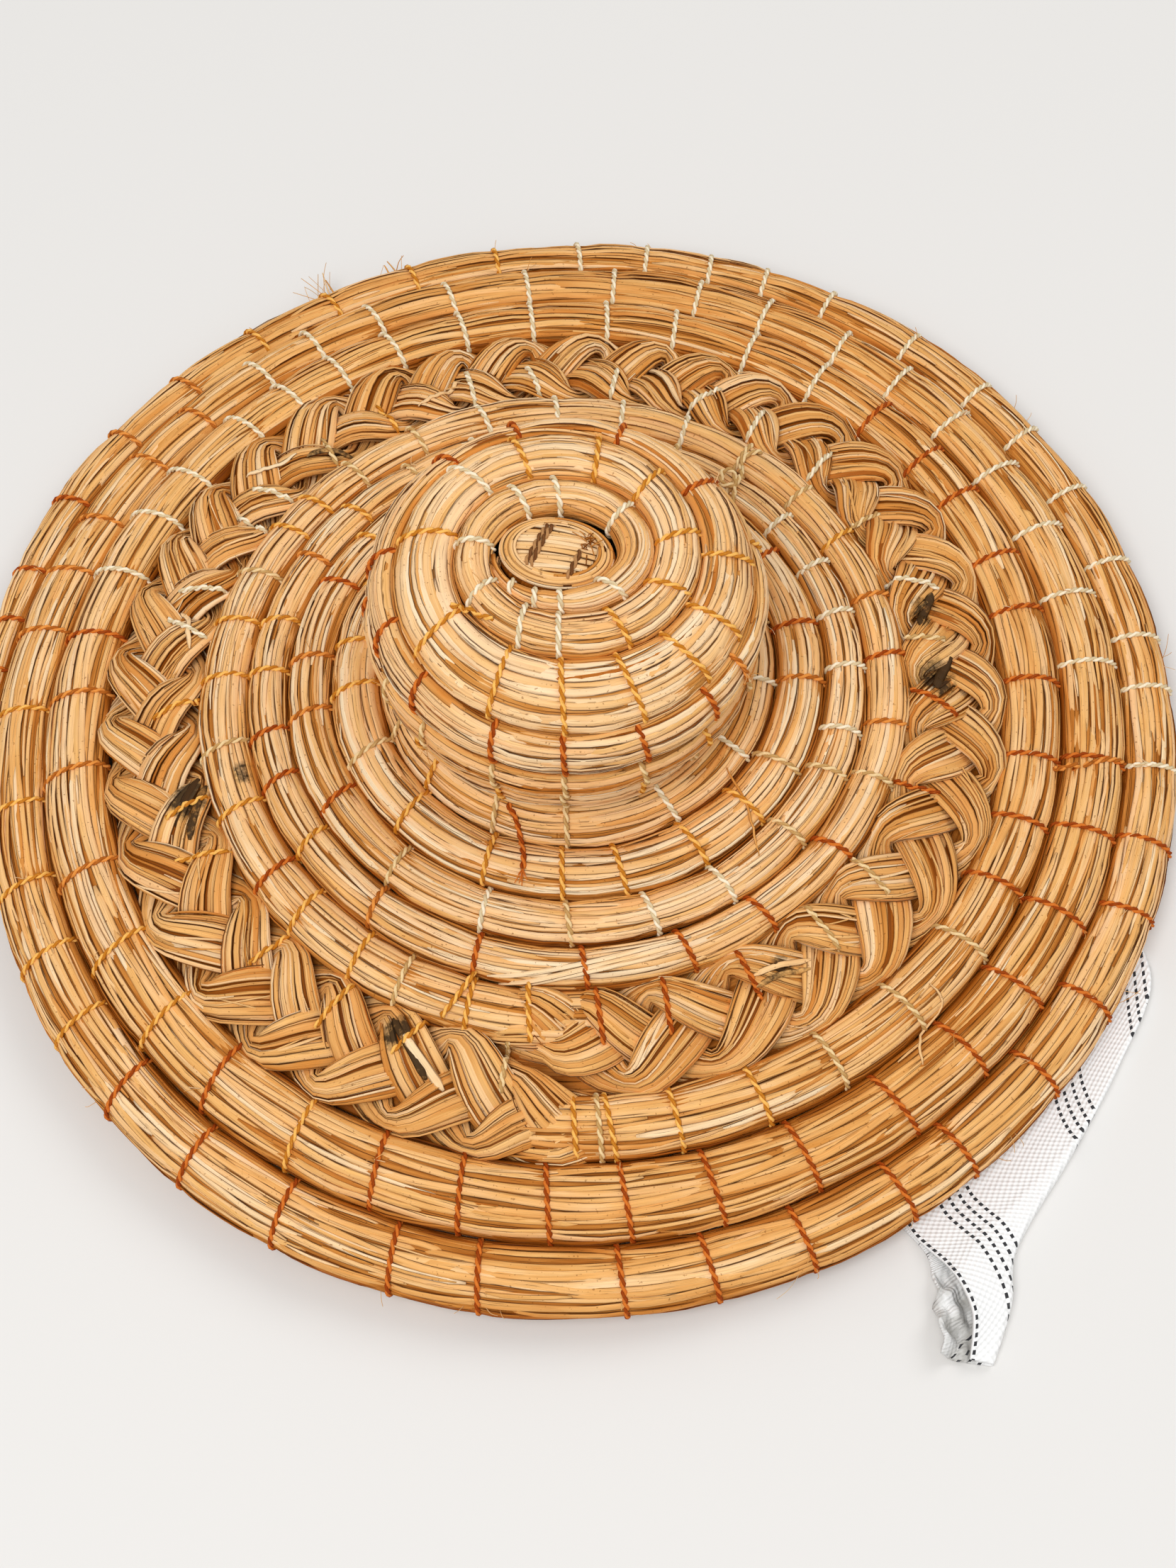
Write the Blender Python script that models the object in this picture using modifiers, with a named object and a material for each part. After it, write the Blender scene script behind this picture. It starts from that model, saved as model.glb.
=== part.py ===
"""A coiled straw hat: a rounded crown on a shallow cone with a drooping brim, one ring of plait,
a head ring inside and a cloth tie that comes out from under the brim. Metres, +Z up, rim on z = 0,
front toward -Y. Angles run from the front, counter-clockwise seen from above."""
import math

import bmesh
import bpy
from mathutils import Vector

MM = 0.001

# Shape of the hat's upper face, millimetres
CROWN_RADIUS = 51.9
CROWN_DOME = 21.0
CROWN_SIDE = 31.5
CROWN_FOOT_RADIUS = 46.5
CROWN_SQUARENESS = 3.2
CROWN_OVAL = 4.0
OVAL_FADE_FROM = 8.0
OVAL_FADE_TO = 45.0
CONE_TOP_DROP = 6.4
CONE_SLOPE = math.radians(15.0)
DROOP_START_RADIUS = 123.0
DROOP_BEND_RADIUS = 251.0

# Widths of the coil's rounds along the upper face, at the front, from the middle outward.
# The crown's are shares of the way from the wad to the crown's foot.
WAD_RADIUS = 8.0
CROWN_SHARES = (0.113, 0.142, 0.246, 0.183, 0.160, 0.156)
CONE_ROUNDS = (13.6, 14.9, 12.4, 12.0)
LAST_CONE_STEP = 15.9
BRAID_WIDTH = 28.1
BRIM_ROUNDS = (17.5, 21.0, 18.9, 17.2)

# Half thickness of the bundles
CROWN_HALF = 5.0
CONE_HALF = 5.5
BRIM_HALF = 7.0
SINK = 0.35

# Flatter tops where the crown's foot meets the cone
FOOT_FLAT = 0.30
FOOT_FLAT_REACH = 14.0

# Where the coil begins and where its tail runs out, in turns from the front
COIL_START = -0.25
START_TAPER = 0.40
TAIL_END = 2.79
TAIL_TAPER = 0.13
TAIL_LEAST = 0.22

# Plait
BRAID_PERIODS = 12
STRAND_HALF_WIDTH = 4.8
STRAND_HALF_THICK = 2.3
STRAND_RISE = 5.7

# Fits
GAP = 0.35
BUTT_GAP = 0.5
THREAD_GAP = 0.35

# Sewing thread
THREAD_RADIUS = 0.9
CROWN_STEPS = 24
CONE_STEPS = 36
BRIM_STEPS = 48
CROWN_SPOKE_EVERY = 4
CONE_SPOKE_EVERY = 3
BRIM_SPOKE_EVERY = 2

# Head ring
HEAD_RING_RADIUS = 86.0
HEAD_RING_THICK = 1.8
HEAD_RING_HEIGHT = 22.0
HEAD_RING_SEGMENTS = 48

# Cloth tie: turn angle where it leaves the head ring, then points and half widths in plan
TIE_ANGLE = math.radians(80.0)
TIE_THICK = 1.2
TIE_LIFT = 7.0
TIE_HALF_WIDTHS = (17.0, 23.0, 30.0, 30.0, 14.0, 9.0)
TIE_OUT = ((104.0, -24.0), (123.0, -52.0), (130.0, -88.0), (117.0, -138.0), (103.0, -186.0))


def skin_line():
    """Points (r, z) of the hat's upper face from its top to past the rim, with z = 0 at the crown's foot."""
    points = []
    waist = CROWN_SIDE
    power = 2 / CROWN_SQUARENESS
    for i in range(25):
        t = math.radians(90.0 * i / 24)
        out = abs(math.sin(t)) ** power
        rise = abs(math.cos(t)) ** power
        points.append((CROWN_RADIUS * out, waist + CROWN_DOME * rise))
    for i in range(1, 13):
        q = i / 12
        points.append((CROWN_RADIUS - (CROWN_RADIUS - CROWN_FOOT_RADIUS) * q * q, waist - CROWN_SIDE * q))
    foot = points[-1]
    corner = (foot[0] - 1.5, foot[1] - CONE_TOP_DROP * 0.85)
    begin = (foot[0] + 4.5, foot[1] - CONE_TOP_DROP - 0.6)
    for i in range(1, 9):
        q = i / 8
        a, b, c = (1 - q) * (1 - q), 2 * q * (1 - q), q * q
        points.append((a * foot[0] + b * corner[0] + c * begin[0], a * foot[1] + b * corner[1] + c * begin[1]))
    straight_end_z = begin[1] - math.tan(CONE_SLOPE) * (DROOP_START_RADIUS - begin[0])
    points.append((DROOP_START_RADIUS, straight_end_z))
    for i in range(1, 41):
        turn = 0.4 * i / 40
        r = DROOP_START_RADIUS + DROOP_BEND_RADIUS * (math.sin(CONE_SLOPE + turn) - math.sin(CONE_SLOPE))
        z = straight_end_z + DROOP_BEND_RADIUS * (math.cos(CONE_SLOPE + turn) - math.cos(CONE_SLOPE))
        points.append((r, z))
    return points


SKIN = skin_line()
SKIN_LENGTHS = [0.0]
for before, after in zip(SKIN, SKIN[1:]):
    SKIN_LENGTHS.append(SKIN_LENGTHS[-1] + math.dist(before, after))

FOOT_LENGTH = SKIN_LENGTHS[24 + 12 + 4]
CROWN_SPAN = SKIN_LENGTHS[24 + 12] + 1.0 - WAD_RADIUS
CROWN_ROUNDS = tuple(CROWN_SPAN * share / sum(CROWN_SHARES) for share in CROWN_SHARES)

# Edges between rounds, measured along the upper face at the front
EDGES = [WAD_RADIUS]
for width in CROWN_ROUNDS + CONE_ROUNDS + (LAST_CONE_STEP,):
    EDGES.append(EDGES[-1] + width)
CROWN_TURNS = len(CROWN_ROUNDS)
CONE_TURNS = len(CONE_ROUNDS)
PLAIT_INNER = EDGES[CROWN_TURNS + CONE_TURNS]
BRIM_EDGES = [PLAIT_INNER + BRAID_WIDTH]
for width in BRIM_ROUNDS:
    BRIM_EDGES.append(BRIM_EDGES[-1] + width)


def between(keys, values, x):
    """Straight-line value at x, carried on past both ends."""
    i = 0
    while i < len(keys) - 2 and x > keys[i + 1]:
        i += 1
    share = (x - keys[i]) / (keys[i + 1] - keys[i])
    return values[i] + share * (values[i + 1] - values[i])


def half_thickness(s):
    keys = (EDGES[CROWN_TURNS - 1], EDGES[CROWN_TURNS + 1], PLAIT_INNER, BRIM_EDGES[1])
    values = (CROWN_HALF, CONE_HALF, CONE_HALF, BRIM_HALF)
    return between(keys, values, min(max(s, keys[0]), keys[-1]))


def middle_point(s):
    """The point (r, z) at a bundle's mid-thickness under the upper face at s, and the outward normal there."""
    r = between(SKIN_LENGTHS, [p[0] for p in SKIN], s)
    z = between(SKIN_LENGTHS, [p[1] for p in SKIN], s)
    r2 = between(SKIN_LENGTHS, [p[0] for p in SKIN], s + 1.5)
    z2 = between(SKIN_LENGTHS, [p[1] for p in SKIN], s + 1.5)
    r1 = between(SKIN_LENGTHS, [p[0] for p in SKIN], s - 1.5)
    z1 = between(SKIN_LENGTHS, [p[1] for p in SKIN], s - 1.5)
    along = Vector((r2 - r1, z2 - z1)).normalized()
    normal = Vector((-along.y, along.x))
    return Vector((r, z)) - normal * SINK * half_thickness(s), normal


def oval(r):
    """Extra half length across the front at radius r, which the oval start gives the crown's top."""
    share = min(max((OVAL_FADE_TO - r) / (OVAL_FADE_TO - OVAL_FADE_FROM), 0.0), 1.0)
    return CROWN_OVAL * share * share * (3 - 2 * share)


def edge_at(edges, turns):
    return between(range(len(edges)), edges, turns)


class Round:
    """One cross-section of the coil: its tips, middle, axes and half sizes in the (r, z) half plane."""

    def __init__(self, edges, turns, taper_in=1.0, taper_out=1.0):
        s_in = edge_at(edges, turns)
        s_out = edge_at(edges, turns + 1)
        if taper_in < 1.0:
            s_in = s_out - (s_out - s_in) * taper_in
        if taper_out < 1.0:
            s_out = s_in + (s_out - s_in) * taper_out
        inner = middle_point(s_in)[0]
        outer = middle_point(s_out)[0]
        self.s = (s_in + s_out) / 2
        self.middle = (inner + outer) / 2
        chord = outer - inner
        self.half_width = chord.length / 2 - GAP / 2
        self.along = chord.normalized()
        self.up = Vector((-self.along.y, self.along.x))
        self.half_thick = half_thickness(self.s) * min(1.0, 0.35 + 0.65 * min(taper_in, taper_out))
        near_foot = min(1.0, abs(self.s - FOOT_LENGTH) / FOOT_FLAT_REACH)
        self.half_up = self.half_thick * (FOOT_FLAT + (1.0 - FOOT_FLAT) * near_foot * near_foot)
        self.angle = 2 * math.pi * turns

    def corner(self, degrees, extra=0.0):
        """A corner of the section, pushed out by extra."""
        t = math.radians(degrees)
        side = math.cos(t)
        lift = math.sin(t)
        thick = self.half_up if lift > 0 else self.half_thick
        p = self.middle + self.along * side * self.half_width + self.up * lift * thick
        if extra:
            out = self.along * side / self.half_width + self.up * lift / thick
            p = p + out.normalized() * extra
        return p

    def place(self, p, angle=None):
        a = self.angle if angle is None else angle
        return Vector(((p.x + oval(p.x)) * math.sin(a), -p.x * math.cos(a), p.y))


def start_taper(turns):
    return min(1.0, 0.15 + 0.85 * (turns - COIL_START) / START_TAPER)


def tail_taper(turns):
    share = (TAIL_END - turns) / TAIL_TAPER
    return min(1.0, TAIL_LEAST + (1.0 - TAIL_LEAST) * max(share, 0.0))


def crown_round(turns):
    return Round(EDGES, turns, taper_in=start_taper(turns))


def cone_round(turns):
    return Round(EDGES, turns)


def brim_round(turns):
    return Round(BRIM_EDGES, turns, taper_out=tail_taper(turns))


def ring_angles(first, last, steps, trim_first, trim_last):
    """Turn counts from first to last on a grid of steps to the turn, with the ends drawn in by the trims."""
    inside = [i / steps for i in range(math.ceil(first * steps), math.floor(last * steps) + 1)]
    turns = [t for t in inside if first + 0.3 / steps < t < last - 0.3 / steps]
    return [first + trim_first] + turns + [last - trim_last]


def material(name, colour, roughness):
    made = bpy.data.materials.new(name)
    made.use_nodes = True
    shader = made.node_tree.nodes["Principled BSDF"]
    shader.inputs["Base Color"].default_value = (*colour, 1.0)
    shader.inputs["Roughness"].default_value = roughness
    return made


def drop_height():
    """How far the whole hat is raised so that its lowest bundle rests on z = 0."""
    lowest = 0.0
    for i in range(int(TAIL_END * BRIM_STEPS) + 1):
        piece = brim_round(i / BRIM_STEPS)
        lowest = min(lowest, piece.corner(270).y, piece.corner(225).y, piece.corner(315).y)
    return -lowest


HAT = bpy.data.collections.new("conical_hat")


def finish(name, bm, colour, roughness):
    bmesh.ops.recalc_face_normals(bm, faces=bm.faces)
    mesh = bpy.data.meshes.new(name)
    bm.to_mesh(mesh)
    bm.free()
    made = bpy.data.objects.new(name, mesh)
    made.data.materials.append(material(name + "_surface", colour, roughness))
    HAT.objects.link(made)
    return made


def loft(name, rings, colour, roughness):
    """A closed body through rings of points, each end filled."""
    bm = bmesh.new()
    rows = [[bm.verts.new(p * MM) for p in ring] for ring in rings]
    for one, two in zip(rows, rows[1:]):
        for i in range(len(one)):
            j = (i + 1) % len(one)
            bm.faces.new((one[i], one[j], two[j], two[i]))
    bm.faces.new(rows[0])
    bm.faces.new(list(reversed(rows[-1])))
    return finish(name, bm, colour, roughness)


def coil(name, rounds, corners, colour):
    rings = []
    for piece in rounds:
        ring = [piece.place(piece.corner(360.0 * k / corners)) for k in range(corners)]
        rings.append([p + Vector((0, 0, RAISE)) for p in ring])
    return loft(name, rings, colour, 0.62)


def thread(name, points, colour):
    """A sewing thread along points, as a bevelled curve with filled ends."""
    curve = bpy.data.curves.new(name, "CURVE")
    curve.dimensions = "3D"
    curve.bevel_depth = THREAD_RADIUS * MM
    curve.bevel_resolution = 0
    curve.use_fill_caps = True
    line = curve.splines.new("POLY")
    line.points.add(len(points) - 1)
    for point, p in zip(line.points, points):
        point.co = ((p.x) * MM, (p.y) * MM, (p.z + RAISE) * MM, 1.0)
    drawn = bpy.data.objects.new(name + "_line", curve)
    bpy.context.scene.collection.objects.link(drawn)
    bpy.context.view_layer.update()
    mesh = bpy.data.meshes.new_from_object(drawn.evaluated_get(bpy.context.evaluated_depsgraph_get()))
    bpy.data.objects.remove(drawn)
    bm = bmesh.new()
    bm.from_mesh(mesh)
    bmesh.ops.remove_doubles(bm, verts=bm.verts, dist=0.00002)
    return finish(name, bm, colour, 0.75)


def crossing(make, turns_of_rounds, over, over_first, wrap_outer):
    """Points of one line of stitches over neighbouring rounds at one angle, from the inside outward."""
    reach = THREAD_RADIUS + THREAD_GAP
    points = []
    for i, turns in enumerate(turns_of_rounds):
        piece = make(turns)
        degrees = list(over if i else over_first)
        if wrap_outer and i == len(turns_of_rounds) - 1:
            degrees.append(0)
        for d in degrees:
            points.append(piece.place(piece.corner(d, reach * 1.1)))
    return points


def run_along(make, first, last, steps, degrees):
    """Points along a round between two turn counts, at one corner of its section."""
    reach = THREAD_RADIUS + THREAD_GAP
    count = round((last - first) * steps)
    points = []
    for i in range(1, count):
        piece = make(first + i / steps)
        points.append(piece.place(piece.corner(degrees, reach * 1.1)))
    return points


def stitch_line(make, spokes, steps, over, over_first, rows_at, rim_at):
    """One thread that goes out over the rounds at a spoke and back in at the next."""
    points = []
    outward = True
    for i, turn in enumerate(spokes):
        rows = rows_at(turn)
        wrap = rim_at(turn)
        line = crossing(make, rows, over, over_first, wrap)
        points += line if outward else line[::-1]
        if i + 1 < len(spokes):
            after = rows_at(spokes[i + 1])
            if outward:
                points += run_along(make, rows[-1], after[-1], steps, 0 if wrap else over[-1])
            else:
                points += run_along(make, rows[0], after[0], steps, over_first[0])
        outward = not outward
    return points


def butt(radius):
    """A butt gap along the coil, as a share of a turn at a radius."""
    return BUTT_GAP / (2 * math.pi * radius)


def centre_wad():
    """The start of the coil: a domed oval knot of stems inside the first round."""
    steps = CROWN_STEPS
    bm = bmesh.new()
    rims = {}
    for height, share in ((0.62, 0.62), (0.0, 1.0), (-0.62, 0.62)):
        ring = []
        for i in range(steps):
            turns = COIL_START + i / steps
            piece = crown_round(turns)
            tip = piece.corner(180)
            r = (tip.x - GAP) * share
            across = (tip.x - GAP + oval(tip.x)) * share
            z = tip.y + height * CROWN_HALF + RAISE
            ring.append(bm.verts.new(Vector((across * math.sin(piece.angle), -r * math.cos(piece.angle), z)) * MM))
        rims[height] = ring
    top = bm.verts.new(Vector((0, 0, crown_round(0.25).corner(180).y + CROWN_HALF * 0.95 + RAISE)) * MM)
    low = bm.verts.new(Vector((0, 0, crown_round(0.25).corner(180).y - CROWN_HALF * 0.95 + RAISE)) * MM)
    for upper, lower in ((0.62, 0.0), (0.0, -0.62)):
        for i in range(steps):
            j = (i + 1) % steps
            bm.faces.new((rims[upper][i], rims[lower][i], rims[lower][j], rims[upper][j]))
    for i in range(steps):
        j = (i + 1) % steps
        bm.faces.new((top, rims[0.62][i], rims[0.62][j]))
        bm.faces.new((low, rims[-0.62][j], rims[-0.62][i]))
    return finish("centre_wad", bm, (0.62, 0.36, 0.15), 0.62)


def plait_strand(name, number):
    """One of three strands of stems that pass over and under each other once round the cone."""
    inner = EDGES[-2]
    inner_step = EDGES[-1] - EDGES[-2]
    outer = BRIM_EDGES[0]
    outer_step = BRIM_EDGES[1] - BRIM_EDGES[0]

    def at(turns):
        swing = 2 * math.pi * (BRAID_PERIODS * turns + number / 3)
        s_in = inner + inner_step * turns
        s_out = outer + outer_step * turns
        reach = (s_out - s_in) / 2 - STRAND_HALF_WIDTH - GAP
        s = (s_in + s_out) / 2 + reach * math.sin(swing)
        p, normal = middle_point(s)
        p = p - normal * STRAND_RISE * math.sin(2 * swing)
        a = 2 * math.pi * turns
        place = Vector((p.x * math.sin(a), -p.x * math.cos(a), p.y + RAISE))
        face = Vector((normal.x * math.sin(a), -normal.x * math.cos(a), normal.y))
        return place, face

    step = 1 / (8 * BRAID_PERIODS)
    first = butt(middle_point(inner)[0].x)
    last = 1 - butt(middle_point(outer)[0].x)
    grid = [(i / 8 - number / 3) / BRAID_PERIODS for i in range(-8, 8 * BRAID_PERIODS + 17)]
    inside = [t for t in grid if first + 0.5 * step < t < last - 0.5 * step]
    rings = []
    for turns in [first] + inside + [last]:
        place, face = at(turns)
        tangent = (at(turns + 0.0005)[0] - at(turns - 0.0005)[0]).normalized()
        if turns in (first, last):
            tangent = Vector((math.cos(2 * math.pi * turns), math.sin(2 * math.pi * turns), 0.0))
        side = tangent.cross(face).normalized()
        up = side.cross(tangent).normalized()
        ring = []
        for k in range(6):
            t = math.radians(60 * k)
            ring.append(place + side * STRAND_HALF_WIDTH * math.cos(t) + up * STRAND_HALF_THICK * math.sin(t))
        rings.append(ring)
    return loft(name, rings, (0.52, 0.29, 0.11), 0.62)


def head_ring():
    """A band that stands under the cone and rests on the head, its top edge against the lowest round above it."""
    inside = HEAD_RING_RADIUS
    outside = HEAD_RING_RADIUS + HEAD_RING_THICK
    lowest = None
    for i in range(CONE_STEPS * CONE_TURNS):
        piece = cone_round(CROWN_TURNS + i / CONE_STEPS)
        low = [piece.corner(360.0 * k / 8) for k in (4, 5, 6, 7, 8)]
        for one, two in zip(low, low[1:]):
            for r in (inside - 0.4, inside + HEAD_RING_THICK / 2, outside + 0.4):
                if one.x <= r <= two.x:
                    z = one.y + (two.y - one.y) * (r - one.x) / (two.x - one.x)
                    lowest = z if lowest is None else min(lowest, z)
    top = lowest - GAP + RAISE
    mesh = bpy.data.meshes.new("head_ring_line")
    corners = [(inside, top - HEAD_RING_HEIGHT), (outside, top - HEAD_RING_HEIGHT), (outside, top), (inside, top)]
    mesh.from_pydata([(r * MM, 0, z * MM) for r, z in corners], [(0, 1), (1, 2), (2, 3), (3, 0)], [])
    made = bpy.data.objects.new("head_ring", mesh)
    HAT.objects.link(made)
    turned = made.modifiers.new("turned", "SCREW")
    turned.steps = HEAD_RING_SEGMENTS
    turned.render_steps = HEAD_RING_SEGMENTS
    turned.use_merge_vertices = True
    turned.merge_threshold = 0.00001
    turned.use_normal_calculate = True
    turned.use_normal_flip = True
    made.data.materials.append(material("head_ring_surface", (0.50, 0.32, 0.15), 0.7))
    return made, top


def cloth_tie(ring_top):
    """A strip of cloth from the head ring out under the brim to the table in front, as one thin body."""
    start = HEAD_RING_RADIUS + HEAD_RING_THICK + GAP
    middle = [Vector((start * math.sin(TIE_ANGLE), -start * math.cos(TIE_ANGLE)))]
    middle += [Vector(p) for p in TIE_OUT]
    heights = [ring_top - HEAD_RING_HEIGHT + TIE_LIFT, TIE_LIFT * 0.45, 0.0, 0.0, 0.0, 0.0]
    line = []
    for i in range(len(middle) - 1):
        for k in range(3):
            line.append(i + k / 3)
    line.append(float(len(middle) - 1))
    keys = range(len(middle))
    rings = []
    for t in line:
        p = Vector((between(keys, [m.x for m in middle], t), between(keys, [m.y for m in middle], t)))
        ahead = min(t + 0.5, len(middle) - 1)
        behind = max(t - 0.5, 0.0)
        way = Vector((
            between(keys, [m.x for m in middle], ahead) - between(keys, [m.x for m in middle], behind),
            between(keys, [m.y for m in middle], ahead) - between(keys, [m.y for m in middle], behind),
        )).normalized()
        if t == 0.0:
            way = middle[0].normalized()
        side = Vector((way.y, -way.x))
        half = between(keys, TIE_HALF_WIDTHS, t)
        z = between(keys, heights, t)
        left = p - side * half
        right = p + side * half
        rings.append([
            Vector((left.x, left.y, z)),
            Vector((right.x, right.y, z)),
            Vector((right.x, right.y, z + TIE_THICK)),
            Vector((left.x, left.y, z + TIE_THICK)),
        ])
    return loft("cloth_tie", rings, (0.78, 0.77, 0.74), 0.85)


for old in list(bpy.data.objects):
    bpy.data.objects.remove(old, do_unlink=True)
bpy.context.scene.collection.children.link(HAT)
RAISE = 0.0
RAISE = drop_height()

STRAW = (0.56, 0.31, 0.12)
PALE_STRAW = (0.64, 0.38, 0.16)
FIRST_CONE = CROWN_TURNS
PLAIT_TURN = CROWN_TURNS + CONE_TURNS


crown_end = butt(middle_point(EDGES[CROWN_TURNS])[0].x)
crown_turns = ring_angles(COIL_START, FIRST_CONE, CROWN_STEPS, 0.0, crown_end / 2)
coil("crown_coil", [crown_round(t) for t in crown_turns], 6, PALE_STRAW)
centre_wad()
cone_turns = ring_angles(FIRST_CONE, PLAIT_TURN, CONE_STEPS, crown_end / 2, 0.0)
coil("cone_coil", [cone_round(t) for t in cone_turns], 8, STRAW)
brim_turns = ring_angles(0.0, TAIL_END, BRIM_STEPS, 0.0, 0.0)
coil("brim_coil", [brim_round(t) for t in brim_turns], 8, STRAW)
for count, strand in enumerate(("plait_strand_a", "plait_strand_b", "plait_strand_c")):
    plait_strand(strand, count)
ring, ring_top = head_ring()
cloth_tie(ring_top)


def crown_rows(turn):
    return [turn + k for k in range(CROWN_TURNS - 2)]


def cone_rows(turn):
    return [FIRST_CONE + turn + k for k in range(CONE_TURNS)]


def brim_rows(turn):
    rows = [turn + k for k in range(3)]
    return [t for t in rows if t < TAIL_END - TAIL_TAPER - 0.02]


def never(turn):
    return False


def on_rim(turn):
    return turn < TAIL_END - 2 - TAIL_TAPER - 0.04 or turn > TAIL_END - 2 + 0.02


def even_groups(spokes, kind):
    """The spokes that leave an even number in each run of one kind, so that a thread is inside where the kind changes."""
    kept = []
    group = []
    for spoke in spokes:
        if group and kind(spoke) != kind(group[0]):
            kept += group[: len(group) // 2 * 2]
            group = []
        group.append(spoke)
    return kept + group[: len(group) // 2 * 2]


def brim_kind(turn):
    return len(brim_rows(turn)), on_rim(turn)


crown_spokes = [i / CROWN_STEPS for i in range(1, CROWN_STEPS, CROWN_SPOKE_EVERY)]
cone_spokes = [i / CONE_STEPS for i in range(1, CONE_STEPS, CONE_SPOKE_EVERY)]
brim_spokes = even_groups([i / BRIM_STEPS for i in range(1, BRIM_STEPS, BRIM_SPOKE_EVERY)], brim_kind)
SIX_SIDED = (120, 60)
EIGHT_SIDED = (135, 90, 45)
crown_line = stitch_line(crown_round, crown_spokes, CROWN_STEPS, SIX_SIDED, SIX_SIDED, crown_rows, never)
thread("crown_thread", crown_line, (0.55, 0.24, 0.06))
cone_line = stitch_line(cone_round, cone_spokes, CONE_STEPS, EIGHT_SIDED, EIGHT_SIDED[1:], cone_rows, never)
thread("cone_thread", cone_line, (0.72, 0.62, 0.45))
brim_line = stitch_line(brim_round, brim_spokes, BRIM_STEPS, EIGHT_SIDED, EIGHT_SIDED, brim_rows, on_rim)
thread("brim_thread", brim_line, (0.48, 0.16, 0.04))
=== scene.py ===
import math

import bpy
import numpy as np
from mathutils import Matrix, Vector, noise
from mathutils.bvhtree import BVHTree


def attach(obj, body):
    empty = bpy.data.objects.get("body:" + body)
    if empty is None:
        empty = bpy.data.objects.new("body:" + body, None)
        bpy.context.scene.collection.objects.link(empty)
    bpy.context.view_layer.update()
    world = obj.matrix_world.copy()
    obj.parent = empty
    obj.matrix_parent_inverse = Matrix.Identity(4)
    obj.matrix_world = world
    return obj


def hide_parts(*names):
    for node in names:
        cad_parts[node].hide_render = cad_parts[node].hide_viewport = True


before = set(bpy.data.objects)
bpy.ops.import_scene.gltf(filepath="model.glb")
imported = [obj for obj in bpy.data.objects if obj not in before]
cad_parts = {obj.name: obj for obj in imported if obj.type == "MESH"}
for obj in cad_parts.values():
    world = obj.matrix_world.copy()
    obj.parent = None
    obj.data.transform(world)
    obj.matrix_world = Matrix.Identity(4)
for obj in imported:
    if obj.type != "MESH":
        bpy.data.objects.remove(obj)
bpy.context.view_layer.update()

# A coiled straw hat. Sizes are millimetres, angles run from the front, counter-clockwise from above.
# Turns count rounds of the coil: the crown has turns 0 to 6, the cone 6 to 10, the brim its own 0 to 2.79.
MM = 0.001
chance = np.random.default_rng(20)

# The hat's upper face, as in the solids
CROWN_RADIUS, CROWN_DOME, CROWN_SIDE, CROWN_FOOT_RADIUS = 51.9, 21.0, 31.5, 46.5
CROWN_SQUARENESS = 3.2
CROWN_OVAL, OVAL_FADE_FROM, OVAL_FADE_TO = 4.0, 8.0, 45.0
CONE_TOP_DROP, CONE_SLOPE = 6.4, math.radians(15.0)
DROOP_START_RADIUS, DROOP_BEND_RADIUS = 123.0, 251.0
WAD_RADIUS = 8.0
CROWN_SHARES = np.array((0.113, 0.142, 0.246, 0.183, 0.160, 0.156))
CONE_ROUNDS, LAST_CONE_STEP = (13.6, 14.9, 12.4, 12.0), 15.9
BRAID_WIDTH, BRIM_ROUNDS = 28.1, (17.5, 21.0, 18.9, 17.2)
CROWN_HALF, CONE_HALF, BRIM_HALF, SINK = 5.0, 5.5, 7.0, 0.35
FOOT_FLAT, FOOT_FLAT_REACH = 0.30, 14.0
COIL_START, START_TAPER = -0.25, 0.40
TAIL_END, TAIL_TAPER, TAIL_LEAST = 2.79, 0.13, 0.22
PLAIT_PERIODS = 12
CROWN_TURNS, CONE_TURNS = 6, 4
GAP = 0.35
ROUND_UP_TO, RIM_RADIUS = 115.0, 175.0


def skin_line():
    """Points (r, z) of the upper face from the top to past the rim, with z = 0 at the crown's foot."""
    t = np.radians(np.linspace(0, 90, 25))
    power = 2 / CROWN_SQUARENESS
    dome = np.stack([CROWN_RADIUS * np.sin(t) ** power, CROWN_SIDE + CROWN_DOME * np.cos(t) ** power], 1)
    q = np.linspace(0, 1, 13)[1:, None]
    side = np.hstack([CROWN_RADIUS - (CROWN_RADIUS - CROWN_FOOT_RADIUS) * q * q, CROWN_SIDE * (1 - q)])
    foot = side[-1]
    corner = foot - (1.5, CONE_TOP_DROP * 0.85)
    begin = foot + (4.5, -CONE_TOP_DROP - 0.6)
    q = np.linspace(0, 1, 9)[1:, None]
    fillet = (1 - q) ** 2 * foot + 2 * q * (1 - q) * corner + q * q * begin
    end_z = begin[1] - math.tan(CONE_SLOPE) * (DROOP_START_RADIUS - begin[0])
    turn = CONE_SLOPE + np.linspace(0, 0.4, 41)
    droop_r = DROOP_START_RADIUS + DROOP_BEND_RADIUS * (np.sin(turn) - math.sin(CONE_SLOPE))
    droop_z = end_z + DROOP_BEND_RADIUS * (np.cos(turn) - math.cos(CONE_SLOPE))
    return np.vstack([dome, side, fillet, np.stack([droop_r, droop_z], 1)])


SKIN = skin_line()
SKIN_S = np.concatenate([[0], np.cumsum(np.hypot(*np.diff(SKIN, axis=0).T))])
FOOT_S = SKIN_S[40]
CROWN_ROUNDS = (SKIN_S[36] + 1.0 - WAD_RADIUS) * CROWN_SHARES / CROWN_SHARES.sum()
EDGES = WAD_RADIUS + np.concatenate([[0], np.cumsum([*CROWN_ROUNDS, *CONE_ROUNDS, LAST_CONE_STEP])])
PLAIT_TURN = CROWN_TURNS + CONE_TURNS
BRIM_EDGES = EDGES[PLAIT_TURN] + BRAID_WIDTH + np.concatenate([[0], np.cumsum(BRIM_ROUNDS)])


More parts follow.
